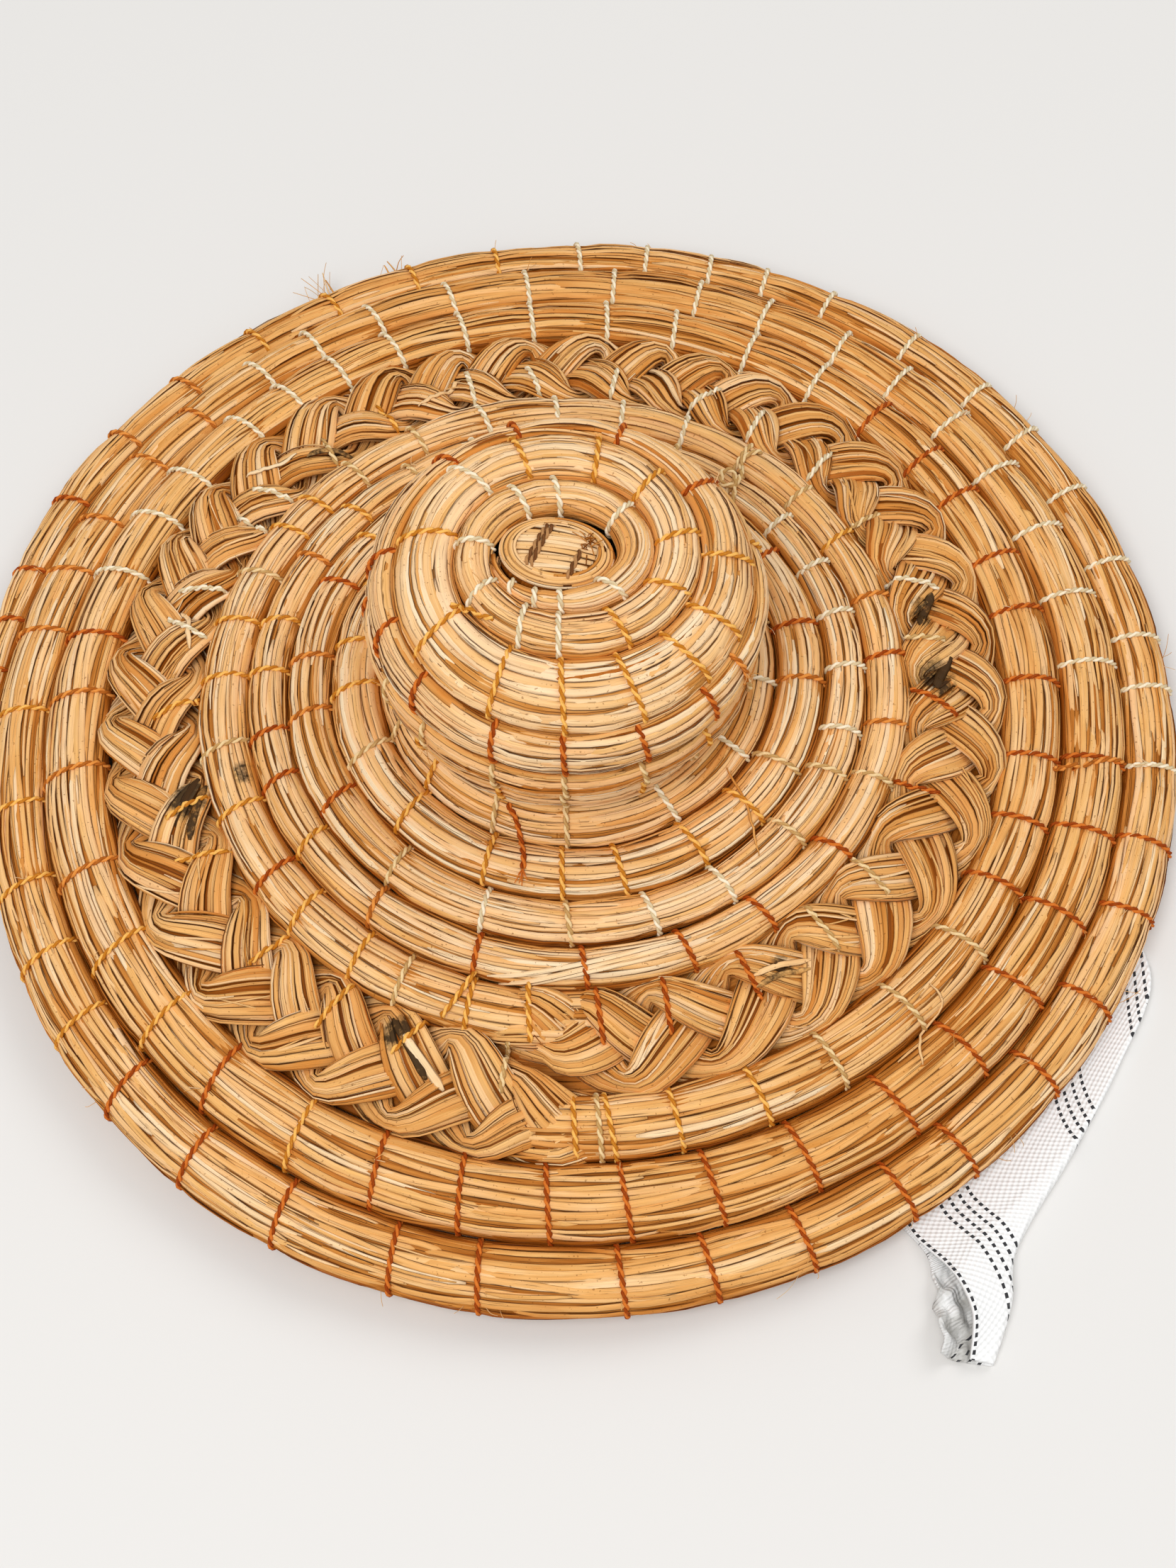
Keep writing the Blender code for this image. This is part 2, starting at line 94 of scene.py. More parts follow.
def half_thickness(s):
    keys = (EDGES[CROWN_TURNS - 1], EDGES[CROWN_TURNS + 1], EDGES[PLAIT_TURN], BRIM_EDGES[1])
    return np.interp(s, keys, (CROWN_HALF, CONE_HALF, CONE_HALF, BRIM_HALF))


def skin_at(s):
    return np.stack([np.interp(s, SKIN_S, SKIN[:, 0]), np.interp(s, SKIN_S, SKIN[:, 1])], -1)


def unit(v):
    return v / np.linalg.norm(v, axis=-1, keepdims=True)


def middle_point(s):
    """Points (r, z) at the bundles' mid-thickness under the upper face, and the outward normals there."""
    along = unit(skin_at(s + 1.5) - skin_at(s - 1.5))
    normal = np.stack([-along[..., 1], along[..., 0]], -1)
    return skin_at(s) - normal * (SINK * half_thickness(s))[..., None], normal


def oval(r):
    share = np.clip((OVAL_FADE_TO - r) / (OVAL_FADE_TO - OVAL_FADE_FROM), 0, 1)
    return CROWN_OVAL * share * share * (3 - 2 * share)


def edge_at(edges, turns):
    below = np.minimum(turns, 0) * (edges[1] - edges[0])
    return np.interp(turns, np.arange(len(edges)), edges) + below


def settled(points):
    """Points with the rim drawn out of round by use: out at the front and the back right, in at the back left."""
    x, y = points[..., 0], points[..., 1]
    r, a = np.hypot(x, y), np.arctan2(x, -y)
    pull = 0.3 + 1.5 * np.cos(a) + 1.05 * np.sin(a) + 0.87 * np.cos(2 * a) - 1.8 * np.sin(2 * a)
    share = 1 + pull * np.clip((r - ROUND_UP_TO) / (RIM_RADIUS - ROUND_UP_TO), 0, 1) / np.maximum(r, 1.0)
    return points * np.stack([share, share, np.ones_like(r)], -1)


class Section:
    """Cross-sections of the coil at many turn counts: middles, axes and half sizes."""

    def __init__(self, zone, turns):
        turns = np.asarray(turns, float)
        edges = BRIM_EDGES if zone == "brim" else EDGES
        s_in, s_out = edge_at(edges, turns), edge_at(edges, turns + 1)
        taper = np.ones_like(turns)
        if zone == "upper":
            taper = np.minimum(1.0, 0.15 + 0.85 * (turns - COIL_START) / START_TAPER)
            s_in = s_out - (s_out - s_in) * taper
        if zone == "brim":
            left = np.maximum((TAIL_END - turns) / TAIL_TAPER, 0)
            taper = np.minimum(1.0, TAIL_LEAST + (1 - TAIL_LEAST) * left)
            s_out = s_in + (s_out - s_in) * taper
        inner, outer = middle_point(s_in)[0], middle_point(s_out)[0]
        chord = outer - inner
        self.s = (s_in + s_out) / 2
        self.turns = turns
        self.middle = (inner + outer) / 2
        self.half_width = np.linalg.norm(chord, axis=-1) / 2 - GAP / 2
        self.along = unit(chord)
        self.up = np.stack([-self.along[..., 1], self.along[..., 0]], -1)
        self.half_low = half_thickness(self.s) * np.minimum(1.0, 0.35 + 0.65 * taper)
        if zone == "upper":
            self.half_low = self.half_low * (1 - 0.45 * np.clip((turns - PLAIT_TURN + 0.05) / 0.07, 0, 1))
        else:
            self.half_low = self.half_low * (0.6 + 0.4 * np.clip((turns + 0.02) / 0.045, 0, 1))
        near_foot = np.minimum(1.0, np.abs(self.s - FOOT_S) / FOOT_FLAT_REACH)
        self.half_up = self.half_low * (FOOT_FLAT + (1 - FOOT_FLAT) * near_foot ** 2)

    def round_points(self, phi, lift=0.0):
        """Points of the sections' outlines at angle phi, raised by lift, and the outward directions."""
        side, rise = np.cos(phi)[..., None], np.sin(phi)[..., None]
        thick = np.where(rise > 0, self.half_up[..., None], self.half_low[..., None])
        wide = self.half_width[..., None]
        out = unit(self.along * side / wide + self.up * rise / thick)
        p = self.middle + self.along * side * wide + self.up * rise * thick
        return p + out * np.asarray(lift)[..., None], out

    def place(self, flat, out):
        """Points and directions of the (r, z) half plane turned into place."""
        a = 2 * math.pi * self.turns
        r = flat[..., 0]
        points = np.stack([(r + oval(r)) * np.sin(a), -r * np.cos(a), flat[..., 1] + RAISE], -1)
        ways = np.stack([out[..., 0] * np.sin(a), -out[..., 0] * np.cos(a), out[..., 1]], -1)
        return settled(points), ways


RAISE = 0.0
rim_turns = np.linspace(0, TAIL_END, 400)
RAISE = -min(Section("brim", rim_turns).round_points(np.full(400, a))[0][:, 1].min() for a in (-1.6, -2.3, -0.8))

# Outlines across and out: a stem split flat, and a round ply of twine
STEM = np.array(((-0.9, -0.7), (0.9, -0.7), (1.0, 0.1), (0.42, 0.85), (-0.42, 0.85), (-1.0, 0.1)))
PLY = np.stack([np.cos(np.arange(6) * math.pi / 3), np.sin(np.arange(6) * math.pi / 3)], 1)


class Tubes:
    """Closed tubes gathered into one mesh. run holds across, along and tube number; look holds tint, stain, blush."""

    def __init__(self):
        self.points, self.faces, self.run, self.look = [], [], [], []
        self.size = 0
        self.number = 0

    def add(self, middle, out, wide, thick, outline=STEM, tint=0.5, stain=0.0, blush=0.0, roll=0.0, loop=False):
        n = len(middle)
        ahead = np.roll(middle, -1, 0) - np.roll(middle, 1, 0) if loop else np.gradient(middle, axis=0)
        across = unit(np.cross(out, ahead))
        out = unit(np.cross(ahead, across))
        if roll:
            out, across = out * math.cos(roll) + across * math.sin(roll), across * math.cos(roll) - out * math.sin(roll)
        wide, thick = np.broadcast_to(wide, n)[:, None, None], np.broadcast_to(thick, n)[:, None, None]
        rings = middle[:, None] + across[:, None] * outline[None, :, :1] * wide + out[:, None] * outline[None, :, 1:] * thick
        length = np.concatenate([[0], np.cumsum(np.linalg.norm(np.diff(middle, axis=0), axis=1))])
        self.number += 1
        self.skin(rings, outline[:, 0], length, np.full(len(outline), self.number * 1.37), (tint, stain, blush), loop)

    def skin(self, rings, across, along, number, look, loop=False):
        """Walls through rings of points, closed at both ends unless the rings loop."""
        n, k = rings.shape[:2]
        i, j = np.arange(n if loop else n - 1)[:, None], np.arange(k)[None, :]
        at, up = self.size + i * k, self.size + (i + 1) % n * k
        walls = np.stack([at + j, at + (j + 1) % k, up + (j + 1) % k, up + j], -1)
        self.faces.append(walls.reshape(-1, 4))
        if not loop:
            last = self.size + (n - 1) * k
            c = np.arange(k // 2 - 1)
            self.faces.append(np.stack([c + 1, c, k - 1 - c, k - 2 - c], 1) + self.size)
            self.faces.append(np.stack([c, c + 1, k - 2 - c, k - 1 - c], 1) + last)
        self.points.append(rings.reshape(-1, 3))
        self.run.append(np.stack([np.tile(across, n), np.repeat(along, k), np.tile(number, n)], -1))
        self.look.append(np.stack([np.repeat(np.broadcast_to(part, n), k) for part in look], -1))
        self.size += n * k

    def piece(self, name, material, slot, *nodes):
        points = np.concatenate(self.points) * MM
        points[:, 2] = np.maximum(points[:, 2], 0.0001)
        vectors = {"run": np.concatenate(self.run), "look": np.concatenate(self.look)}
        return make_piece(name, points, np.concatenate(self.faces), material, nodes, vectors)

    def ground(self):
        """The tubes as something that other pieces can be laid on."""
        return BVHTree.FromPolygons(np.concatenate(self.points).tolist(), np.concatenate(self.faces).tolist())


def make_piece(name, points, quads, material, nodes, vectors):
    """A smooth mesh piece of quads that rides on the hat and stands for the CAD nodes named."""
    mesh = bpy.data.meshes.new(name)
    mesh.vertices.add(len(points))
    mesh.vertices.foreach_set("co", points.astype(np.float32).ravel())
    mesh.loops.add(quads.size)
    mesh.loops.foreach_set("vertex_index", quads.astype(np.int32).ravel())
    mesh.polygons.add(len(quads))
    mesh.polygons.foreach_set("loop_start", np.arange(0, quads.size, 4, dtype=np.int32))
    mesh.update(calc_edges=True)
    mesh.polygons.foreach_set("use_smooth", np.ones(len(quads), bool))
    for label, values in vectors.items():
        layer = mesh.attributes.new(label, "FLOAT_VECTOR", "POINT")
        layer.data.foreach_set("vector", values.astype(np.float32).ravel())
    made = bpy.data.objects.new(name, mesh)
    bpy.context.scene.collection.objects.link(made)
    mesh.materials.append(material)
    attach(made, "root")
    if nodes:
        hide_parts(*nodes)
    return made


def colour(code):
    """An sRGB hex colour as linear red, green, blue and alpha."""
    parts = [int(code[i:i + 2], 16) / 255 for i in (0, 2, 4)]
    return [c / 12.92 if c <= 0.04045 else ((c + 0.055) / 1.055) ** 2.4 for c in parts] + [1.0]


def node(tree, kind, values=None, links=None, stops=None, **settings):
    """One shader node with its settings, socket values, links from output sockets, and colour stops."""
    made = tree.nodes.new("ShaderNode" + kind)
    for key, value in settings.items():
        setattr(made, key, value)
    for key, value in (values or {}).items():
        made.inputs[key].default_value = value
    for key, source in (links or {}).items():
        tree.links.new(source, made.inputs[key])
    if stops:
        marks = made.color_ramp.elements
        while len(marks) < len(stops):
            marks.new(0.5)
        for mark, (where, code) in zip(marks, stops):
            mark.position = where
            mark.color = colour(code)
    return made


def new_material(name):
    made = bpy.data.materials.new(name)
    made.use_nodes = True
    return made, made.node_tree, made.node_tree.nodes["Principled BSDF"]


def dried_straw():
    """Dried grass stem, split flat and sewn: a satin skin from pale gold to brown, one shade to a stem,
    with fine lengthwise streaks and splits, painted shade along the sides where stems touch, brown specks and a little
    mould."""
    made, tree, shader = new_material("dried_straw")
    run = node(tree, "Attribute", attribute_name="run")
    look = node(tree, "Attribute", attribute_name="look")
    place = node(tree, "SeparateXYZ", links={0: run.outputs["Vector"]})
    kind = node(tree, "SeparateXYZ", links={0: look.outputs["Vector"]})
    # streaks: about 8 across a 2 mm stem, each some 25 mm long
    stretch = node(tree, "VectorMath", {1: (4.2, 0.045, 1.0)}, {0: run.outputs["Vector"]}, operation="MULTIPLY")
    streak = node(tree, "TexNoise", {"Scale": 1.0, "Detail": 4.0, "Roughness": 0.62}, {"Vector": stretch.outputs[0]})
    # patches: 8 to 30 mm along a stem, where its skin is paler or browner
    patchy = node(tree, "VectorMath", {1: (0.5, 0.07, 1.0)}, {0: run.outputs["Vector"]}, operation="MULTIPLY")
    patch = node(tree, "TexNoise", {"Scale": 1.0, "Detail": 2.0}, {"Vector": patchy.outputs[0]})
    shift = node(tree, "Math", {1: 0.36, 2: -0.18}, {0: patch.outputs["Fac"]}, operation="MULTIPLY_ADD")
    tone = node(tree, "Math", links={0: kind.outputs["X"], 1: shift.outputs[0]}, operation="ADD")
    skin = node(tree, "ValToRGB", links={0: tone.outputs[0]}, stops=(
        (0.0, "642C02"), (0.2, "AC601A"), (0.4, "DB9243"), (0.6, "F1B86F"), (0.8, "FCCF97"), (1.0, "FFE6BE")))
    light = node(tree, "MapRange", {1: 0.25, 2: 0.75, 3: 0.74, 4: 1.16}, {0: streak.outputs["Fac"]})
    streaked = node(tree, "VectorMath", links={0: skin.outputs["Color"], 1: light.outputs[0]}, operation="MULTIPLY")
    # some stems have ripened to a pinker brown
    pinker = node(tree, "VectorMath", {1: (0.97, 0.86, 0.78)}, {0: streaked.outputs[0]}, operation="MULTIPLY")
    ripe = node(tree, "Mix", links={0: kind.outputs["Z"], 6: streaked.outputs[0], 7: pinker.outputs[0]}, data_type="RGBA")
    # splits along the grain, a few tenths of a millimetre wide
    split_run = node(tree, "VectorMath", {1: (3.3, 0.05, 1.7)}, {0: run.outputs["Vector"]}, operation="MULTIPLY")
    split = node(tree, "TexNoise", {"Scale": 1.0, "Detail": 3.0, "Roughness": 0.55}, {"Vector": split_run.outputs[0]})
    line = node(tree, "MapRange", {1: 0.30, 2: 0.37, 3: 0.80, 4: 0.0}, {0: split.outputs["Fac"]})
    # painted shade: the sides of each stem darkened where neighbouring stems touch and shade each other
    side = node(tree, "Math", {}, {0: place.outputs["X"]}, operation="ABSOLUTE")
    edge_shade = node(tree, "MapRange", {1: 0.77, 2: 0.94, 3: 0.0, 4: 0.95}, {0: side.outputs[0]})
    uneven = node(tree, "MapRange", {1: 0.38, 2: 0.56, 3: 0.32, 4: 1.0}, {0: patch.outputs["Fac"]})
    patchy_edge_shade = node(tree, "Math", links={0: edge_shade.outputs[0], 1: uneven.outputs[0]}, operation="MULTIPLY")
    # real splits and the painted shade at the sides, darkened together
    splits_and_edge_shade = node(tree, "Math", links={0: line.outputs[0], 1: patchy_edge_shade.outputs[0]}, operation="MAXIMUM")
    edge_shaded = node(tree, "Mix", {7: colour("4C2003")}, {0: splits_and_edge_shade.outputs[0], 6: ripe.outputs[2]}, data_type="RGBA")
    # specks of about half a millimetre
    where = node(tree, "TexCoord")
    speck = node(tree, "TexNoise", {"Scale": 1100.0, "Detail": 1.0}, {"Vector": where.outputs["Object"]})
    specked = node(tree, "MapRange", {1: 0.69, 2: 0.75, 3: 0.0, 4: 0.55}, {0: speck.outputs["Fac"]})
    brown = node(tree, "Mix", {7: colour("7A4413")}, {0: specked.outputs[0], 6: edge_shaded.outputs[2]}, data_type="RGBA")
    # mould in torn blotches of 1 to 4 mm
    blotch = node(tree, "TexNoise", {"Scale": 420.0, "Detail": 5.0, "Roughness": 0.7}, {"Vector": where.outputs["Object"]})
    edge = node(tree, "Math", links={0: blotch.outputs["Fac"], 1: kind.outputs["Y"]}, operation="ADD")
    torn = node(tree, "MapRange", {1: 0.96, 2: 1.30, 3: 0.0, 4: 0.94}, {0: edge.outputs[0]})
    mould = node(tree, "Mix", {7: colour("2C2015")}, {0: torn.outputs[0], 6: brown.outputs[2]}, data_type="RGBA")
    tree.links.new(mould.outputs[2], shader.inputs["Base Color"])
    gloss = node(tree, "MapRange", {1: 0.3, 2: 0.7, 3: 0.38, 4: 0.60}, {0: streak.outputs["Fac"]})
    tree.links.new(gloss.outputs[0], shader.inputs["Roughness"])
    ridges = node(tree, "Bump", {"Strength": 0.5, "Distance": 0.0003}, {"Height": streak.outputs["Fac"]})
    tree.links.new(ridges.outputs[0], shader.inputs["Normal"])
    shader.inputs["IOR"].default_value = 1.45
    shader.inputs["Specular IOR Level"].default_value = 0.08
    return made


def twisted_thread(name, dark, pale):
    """Two-ply sewing twine: dull, with fine fibres along each ply; one ply is tinted paler and the other darker, as
    painted light and shade on the twist.
    """
    made, tree, shader = new_material(name)
    run = node(tree, "Attribute", attribute_name="run")
    # fibres: about 0.2 mm wide, drawn along the ply
    fine = node(tree, "VectorMath", {1: (2.6, 0.6, 1.0)}, {0: run.outputs["Vector"]}, operation="MULTIPLY")
    fibre = node(tree, "TexNoise", {"Scale": 1.6, "Detail": 3.0}, {"Vector": fine.outputs[0]})
    look = node(tree, "Attribute", attribute_name="look")
    ply_light_and_shade = node(tree, "SeparateXYZ", links={0: look.outputs["Vector"]})
    shade = node(tree, "Math", {1: -0.5}, {0: ply_light_and_shade.outputs["X"]}, operation="ADD")
    shade = node(tree, "Math", links={0: shade.outputs[0], 1: fibre.outputs["Fac"]}, operation="ADD")
    tint = node(tree, "ValToRGB", links={0: shade.outputs[0]}, stops=((0.30, dark), (0.70, pale)))
    tree.links.new(tint.outputs["Color"], shader.inputs["Base Color"])
    fuzz = node(tree, "Bump", {"Strength": 0.5, "Distance": 0.00025}, {"Height": fibre.outputs["Fac"]})
    tree.links.new(fuzz.outputs[0], shader.inputs["Normal"])
    rough = node(tree, "MapRange", {1: 0.3, 2: 0.7, 3: 0.85, 4: 0.65}, {0: fibre.outputs["Fac"]})
    tree.links.new(rough.outputs[0], shader.inputs["Roughness"])
    shader.inputs["Specular IOR Level"].default_value = 0.1
    return made


STRAW = dried_straw()
TWINES = {
    "W": twisted_thread("white_cotton_twine", "DCC69C", "FFF1D4"),
    "C": twisted_thread("cream_cotton_twine", "C4995C", "F6D8A2"),
    "O": twisted_thread("ochre_dyed_twine", "C4781C", "FFC466"),
    "G": twisted_thread("orange_dyed_twine", "B0601C", "F09C48"),
    "R": twisted_thread("rust_dyed_twine", "983E08", "DE7A2C"),
    "B": twisted_thread("brown_dyed_twine", "6E4220", "BC8A58"),
}

# Stitches of each round: the angle from the front in degrees and the twine's letter
CROWN_STITCHES = (
    "308W 332W 355W",
    "36W 131W 182W 210W 260W 298W 332W 356W",
    "28O 64O 97O 134O 162O 198O 222W 256O 302O 334O 358O",
    "23O 46O 65O 91O 123R 159R 196R 221R 262R 288R 310R 338R 359R",
    "22R 46R 61G 104O 140R 168O 191O 208C 232O 268R 296C 314C 338C 359C",
    "22C 44O 66C 110O 140O 165O 190O 210C 240O 270C 292O 308O 338O 358C",
    "24O 45C 66C 108O 138O 163O 188O 210C 238O 268C 292C 312O 336C 359C",
)
CONE_STITCHES = (
    "30W 59W 84W 103C 125O 148O 172O 196O 220O 240O 260O 274O 294C 315O 339O 358O",
    "12O 31O 48O 62C 86G 102R 122R 140C 158C 176W 194W 212C 230O 244R 264G 278G 300R 321C 342W 359C",
    "16W 32W 50C 66C 76W 91W 104W 116W 129W 142C 156C 170W 184W 198W 212C 226O 240G 255O 267O 280R 290R 304O 322G 343R",
    "2R 20R 35R 53R 69C 80G 94R 107G 120O 132C 145C 157W 169W 181W 194W 207C 220C 229O 236O 246C 256O 267O 280C"
    " 292O 305R 313O 325O 333C 344O",
)
BRIM_STITCHES = (
    "0O 3C 4O 12O 22O 32C 43C 54C 63R 72R 81R 92R 102R 110R 120R 127R 136R 145W 155W 165W 174W 184W 193W 202W 210W 217W"
    " 224W 234W 241W 250W 259R 267G 277G 290G 300O 310O 319R 330O 339R 348R 357R",
    "5R 14R 24R 35R 45R 54R 64R 74R 83R 95W 104W 113W 122W 130W 138W 146W 156W 164W 174W 184W 193W 202W 210W 217W"
    " 226G 234G 243G 250G 258G 268O 279O 288O 296O 304O 312R 322R 332R 343R 351R",
    "4R 12R 21R 31R 38R 49R 58R 68R 76R 84W 93W 99W 108W 117W 125W 132W 141W 151W 158W 164W 171W 178W 187O 196O"
    " 205O 214O 223G 232G 241R 250R 256R 262R 268R 274R",
)


def stitch_list(rows, first_row):
    """Turn counts and twine letters of a zone's stitches, in order along the coil."""
    found = []
    for row, words in enumerate(rows):
        for word in words.split():
            found.append((first_row + row + float(word[:-1]) / 360, word[-1]))
    return sorted(found)


RUN_ON = 0.02
# reach in mm of the painted shade in the grooves between rounds
GROOVE_SHADE_REACH = 1.35
ZONES = {
    "upper": {"first": COIL_START, "last": PLAIT_TURN + RUN_ON, "lanes": 30,
              "stitches": stitch_list(CROWN_STITCHES, -1) + stitch_list(CONE_STITCHES, CROWN_TURNS)},
    "brim": {"first": -RUN_ON, "last": TAIL_END, "lanes": 36, "stitches": stitch_list(BRIM_STITCHES, 0)},
}
for zone, facts in ZONES.items():
    facts["turns"] = np.linspace(facts["first"], facts["last"], 4000)
    sections = Section(zone, facts["turns"])
    spots, _ = sections.place(sections.middle, sections.up)
    steps = np.linalg.norm(np.diff(spots, axis=0), axis=1)
    facts["lengths"] = np.concatenate([[0], np.cumsum(steps)])
    facts["radii"] = sections.middle[:, 0]
    facts["sewn"] = np.interp([t for t, _ in facts["stitches"]], facts["turns"], facts["lengths"])

# Dark patches of mould, as centre and reach
STAINS = (
    ((-106.7, -33.1, 37.7), 9), ((-90.4, -26.8, 42.0), 5), ((104.2, 23.6, 38.9), 7), ((105.9, 1.4, 39.2), 9),
    ((-46.6, -104.7, 37.0), 7), ((57.2, -88.0, 39.4), 5), ((15.6, 148.8, 26.8), 4), ((-69.0, 82.9, 38.7), 5),
)


def stain_at(points):
    amount = np.zeros(len(points))
    for centre, reach in STAINS:
        far = np.linalg.norm(points - np.array(centre), axis=1) / reach
        amount = np.maximum(amount, np.clip(1.25 - far, 0, 1))
    return amount


def ends(length, along, reach):
    """From 0 at both ends of a stem to 1 a little way in."""
    near = np.clip(np.minimum(along, length - along) / reach, 0, 1)
    return near * near * (3 - 2 * near)


def coil_heart(tubes, zone, first, last, tint):
    """The ribbed inside of a bundle, seen in the gaps between stems, tinted dark as painted shade."""
    facts = ZONES[zone]
    stretch = np.interp((first, last), facts["turns"], facts["lengths"])
    heart = Section(zone, np.linspace(first, last, int((stretch[1] - stretch[0]) / 4.5)))
    ribs = 72
    rings = []
    for k in range(ribs):
        phi = -2 * math.pi * k / ribs
        deep = -1.15 + 0.45 * (k % 2) + 0.7 * math.cos(phi) ** 2
        flat, out = heart.round_points(np.full(len(heart.turns), phi), deep)
        rings.append(heart.place(flat, out)[0])
    along = np.linspace(stretch[0], stretch[1], len(heart.turns))
    tubes.skin(np.stack(rings, 1), 1.0 - np.arange(ribs) % 2, along, (np.arange(ribs) + 1) // 2 * 1.7, (tint, 0.0, 0.2))


def angle_round(half_width, half_up, half_low, share):
    """The angle at a share of the way round an oval section, and the way's whole length."""
    t = np.linspace(0, 2 * math.pi, 73)
    thick = np.where(np.sin(t) > 0, half_up, half_low)
    steps = np.hypot(np.diff(half_width * np.cos(t)), np.diff(thick * np.sin(t)))
    far = np.concatenate([[0], np.cumsum(steps)])
    return np.interp(share % 1.0 * far[-1], far, t), far[-1]


def coil_stem(tubes, zone, begin, end, phi, wide, lift, tint, blush=0.0, cut=(True, True)):
    """One stem along the bundle from begin to end, at angle phi round it. A cut end shows, another dives in."""
    facts = ZONES[zone]
    radius = np.interp(begin, facts["lengths"], facts["radii"])
    count = max(5, int((end - begin) / min(4.4, 0.17 * radius)) + 1)
    along = np.linspace(begin, end, count)
    part = Section(zone, np.interp(along, facts["lengths"], facts["turns"]))
    share = (along - begin) / (end - begin)
    phi = phi + chance.normal(-0.05, 0.36) * (share - 0.5) * (end - begin) / 130
    phi = phi + chance.uniform(0.02, 0.07) * np.sin(along / chance.uniform(6, 16) + chance.uniform(0, 6.3))
    lump = 0.22 * np.sin(along / 7.3 + 2 * phi) + 0.20 * np.sin(along / 12.7 - 3 * phi + 1.0)
    near = np.stack([along - begin, end - along])
    dive = (np.array([0.3 if c else 2.0 for c in cut])[:, None] * np.clip(1 - near / 9.0, 0, 1) ** 2).sum(0)
    narrow = np.clip(0.45 + near.min(0) / 7.0, 0, 1)
    nearest = np.abs(along[:, None] - facts["sewn"][None, :]).min(1)
    pinch = 0.5 * np.exp(-(nearest / 3.0) ** 2)
    press = 0.3 * np.cos(phi) ** 2
    # painted shade: stems near the notch between neighbouring rounds are darkened, where shade falls in the groove
    groove_shade = np.clip(1 - part.half_width * (1 - np.abs(np.cos(phi))) / GROOVE_SHADE_REACH, 0, 1)
    groove_shade = groove_shade * (0.58 if zone == "brim" else np.interp(part.turns, (3, 5.5), (0.30, 0.58)))
    flat, out = part.round_points(phi, lift + lump + press - dive - pinch)
    points, ways = part.place(flat, out)
    tubes.add(points, ways, wide * narrow, min(chance.uniform(0.26, 0.40), 0.8 * wide), tint=np.maximum(tint - groove_shade, 0.12), blush=blush,
              stain=stain_at(points), roll=chance.normal(0, 0.10))


def coil_stems(zone, choose, shade):
    """All stems of a zone, end to end in lanes round the bundle. choose gives the mesh for a stem's turn and lane."""
    facts = ZONES[zone]
    lanes, stop = facts["lanes"], facts["lengths"][-1]
    for lane in range(lanes):
        at = -chance.uniform(0, 90)
        while at < stop - 12:
            length = chance.uniform(60, 200)
            begin, end = max(at, 0.0), min(at + length, stop)
            at += length - chance.uniform(3, 12)
            if end - begin < 14:
                continue
            turn = np.interp((begin + end) / 2, facts["lengths"], facts["turns"])
            middle = Section(zone, turn)
            place = (lane + chance.uniform(-0.3, 0.3)) / lanes
            phi, around = angle_round(middle.half_width, middle.half_up, middle.half_low, place)
            wide = around / lanes * (0.62 if zone == "upper" else 0.54) * chance.choice((0.75, 0.95, 1.2, 1.5, 1.9), p=(0.10, 0.24, 0.32, 0.24, 0.10))
            tint = shade(turn) + chance.normal(0, 0.065) + (0.17 if chance.uniform() < 0.12 else 0.0)
            tint = np.clip(tint, 0.3, 0.98)
            # a few thin dark stems: partly brown stems, partly painted shade standing for dark gaps between stems
            if chance.uniform() < (0.065 if zone == "upper" else 0.03):
                tint, wide = chance.uniform(0.26, 0.44), 0.5 * wide
            cut = chance.uniform(size=2) < 0.3
            coil_stem(choose(turn, lane), zone, begin, end, phi, wide, -0.3 + chance.uniform(-0.28, 0.18), tint,
                      chance.uniform(0, 1) ** 2, cut)


def coil_splinters(zone, count, choose, shade):
    """Short split pieces of stem lying on the upper side of the bundles, some of them lifting at one end."""
    facts = ZONES[zone]
    lanes = facts["lanes"]
    for _ in range(count):
        begin = chance.uniform(20, facts["lengths"][-1] - 60)
        end = begin + chance.uniform(9, 44)
        turn = np.interp(begin, facts["lengths"], facts["turns"])
        phi = chance.uniform(0.15, 2.9)
        tint = np.clip(chance.normal(shade(turn) + 0.04, 0.14), 0.2, 1.0)
        coil_stem(choose(turn, int(phi / 2 / math.pi * lanes)), zone, begin, end, phi, chance.uniform(0.22, 0.75),
                  chance.uniform(-0.05, 0.22), tint, chance.uniform(0, 1) ** 2)


def upper_mesh(turn, lane):
    return (crown if turn < CROWN_TURNS else cone)[lane * 2 // ZONES["upper"]["lanes"]]


def brim_mesh(turn, lane):
    return brim[lane * 3 // ZONES["brim"]["lanes"]]


def by_side(turn, front, right, back, left):
    """One of four values by the side of the hat, blended between them."""
    c, s = math.cos(2 * math.pi * turn), math.sin(2 * math.pi * turn)
    return (front if c > 0 else back) * c * c + (right if s > 0 else left) * s * s


def upper_shade(turn):
    """How pale the stems are: paler at the front of the crown as painted light, browner on the right of the cone."""
    shade = np.interp(turn, (0, 1, 1.8, 2.9, 3.2, 4, 6, 10), (0.74, 0.74, 0.74, 0.74, 0.72, 0.71, 0.73, 0.74))
    # painted light: the crown's wide rows made paler at the front, where the light falls on them
    if 1.5 < turn < 3.7:
        shade += by_side(turn, 0.22, 0, 0, 0)
    if turn > CROWN_TURNS:
        shade += by_side(turn, 0.04, -0.07, 0, 0)
    return shade


def brim_shade(turn):
    # palest on the left of the brim as painted light, darker at the front and darkest at the back
    return by_side(turn, 0.59, 0.65, 0.55, 0.70)


crown, cone = [Tubes(), Tubes()], [Tubes(), Tubes()]
brim = [Tubes(), Tubes(), Tubes()]
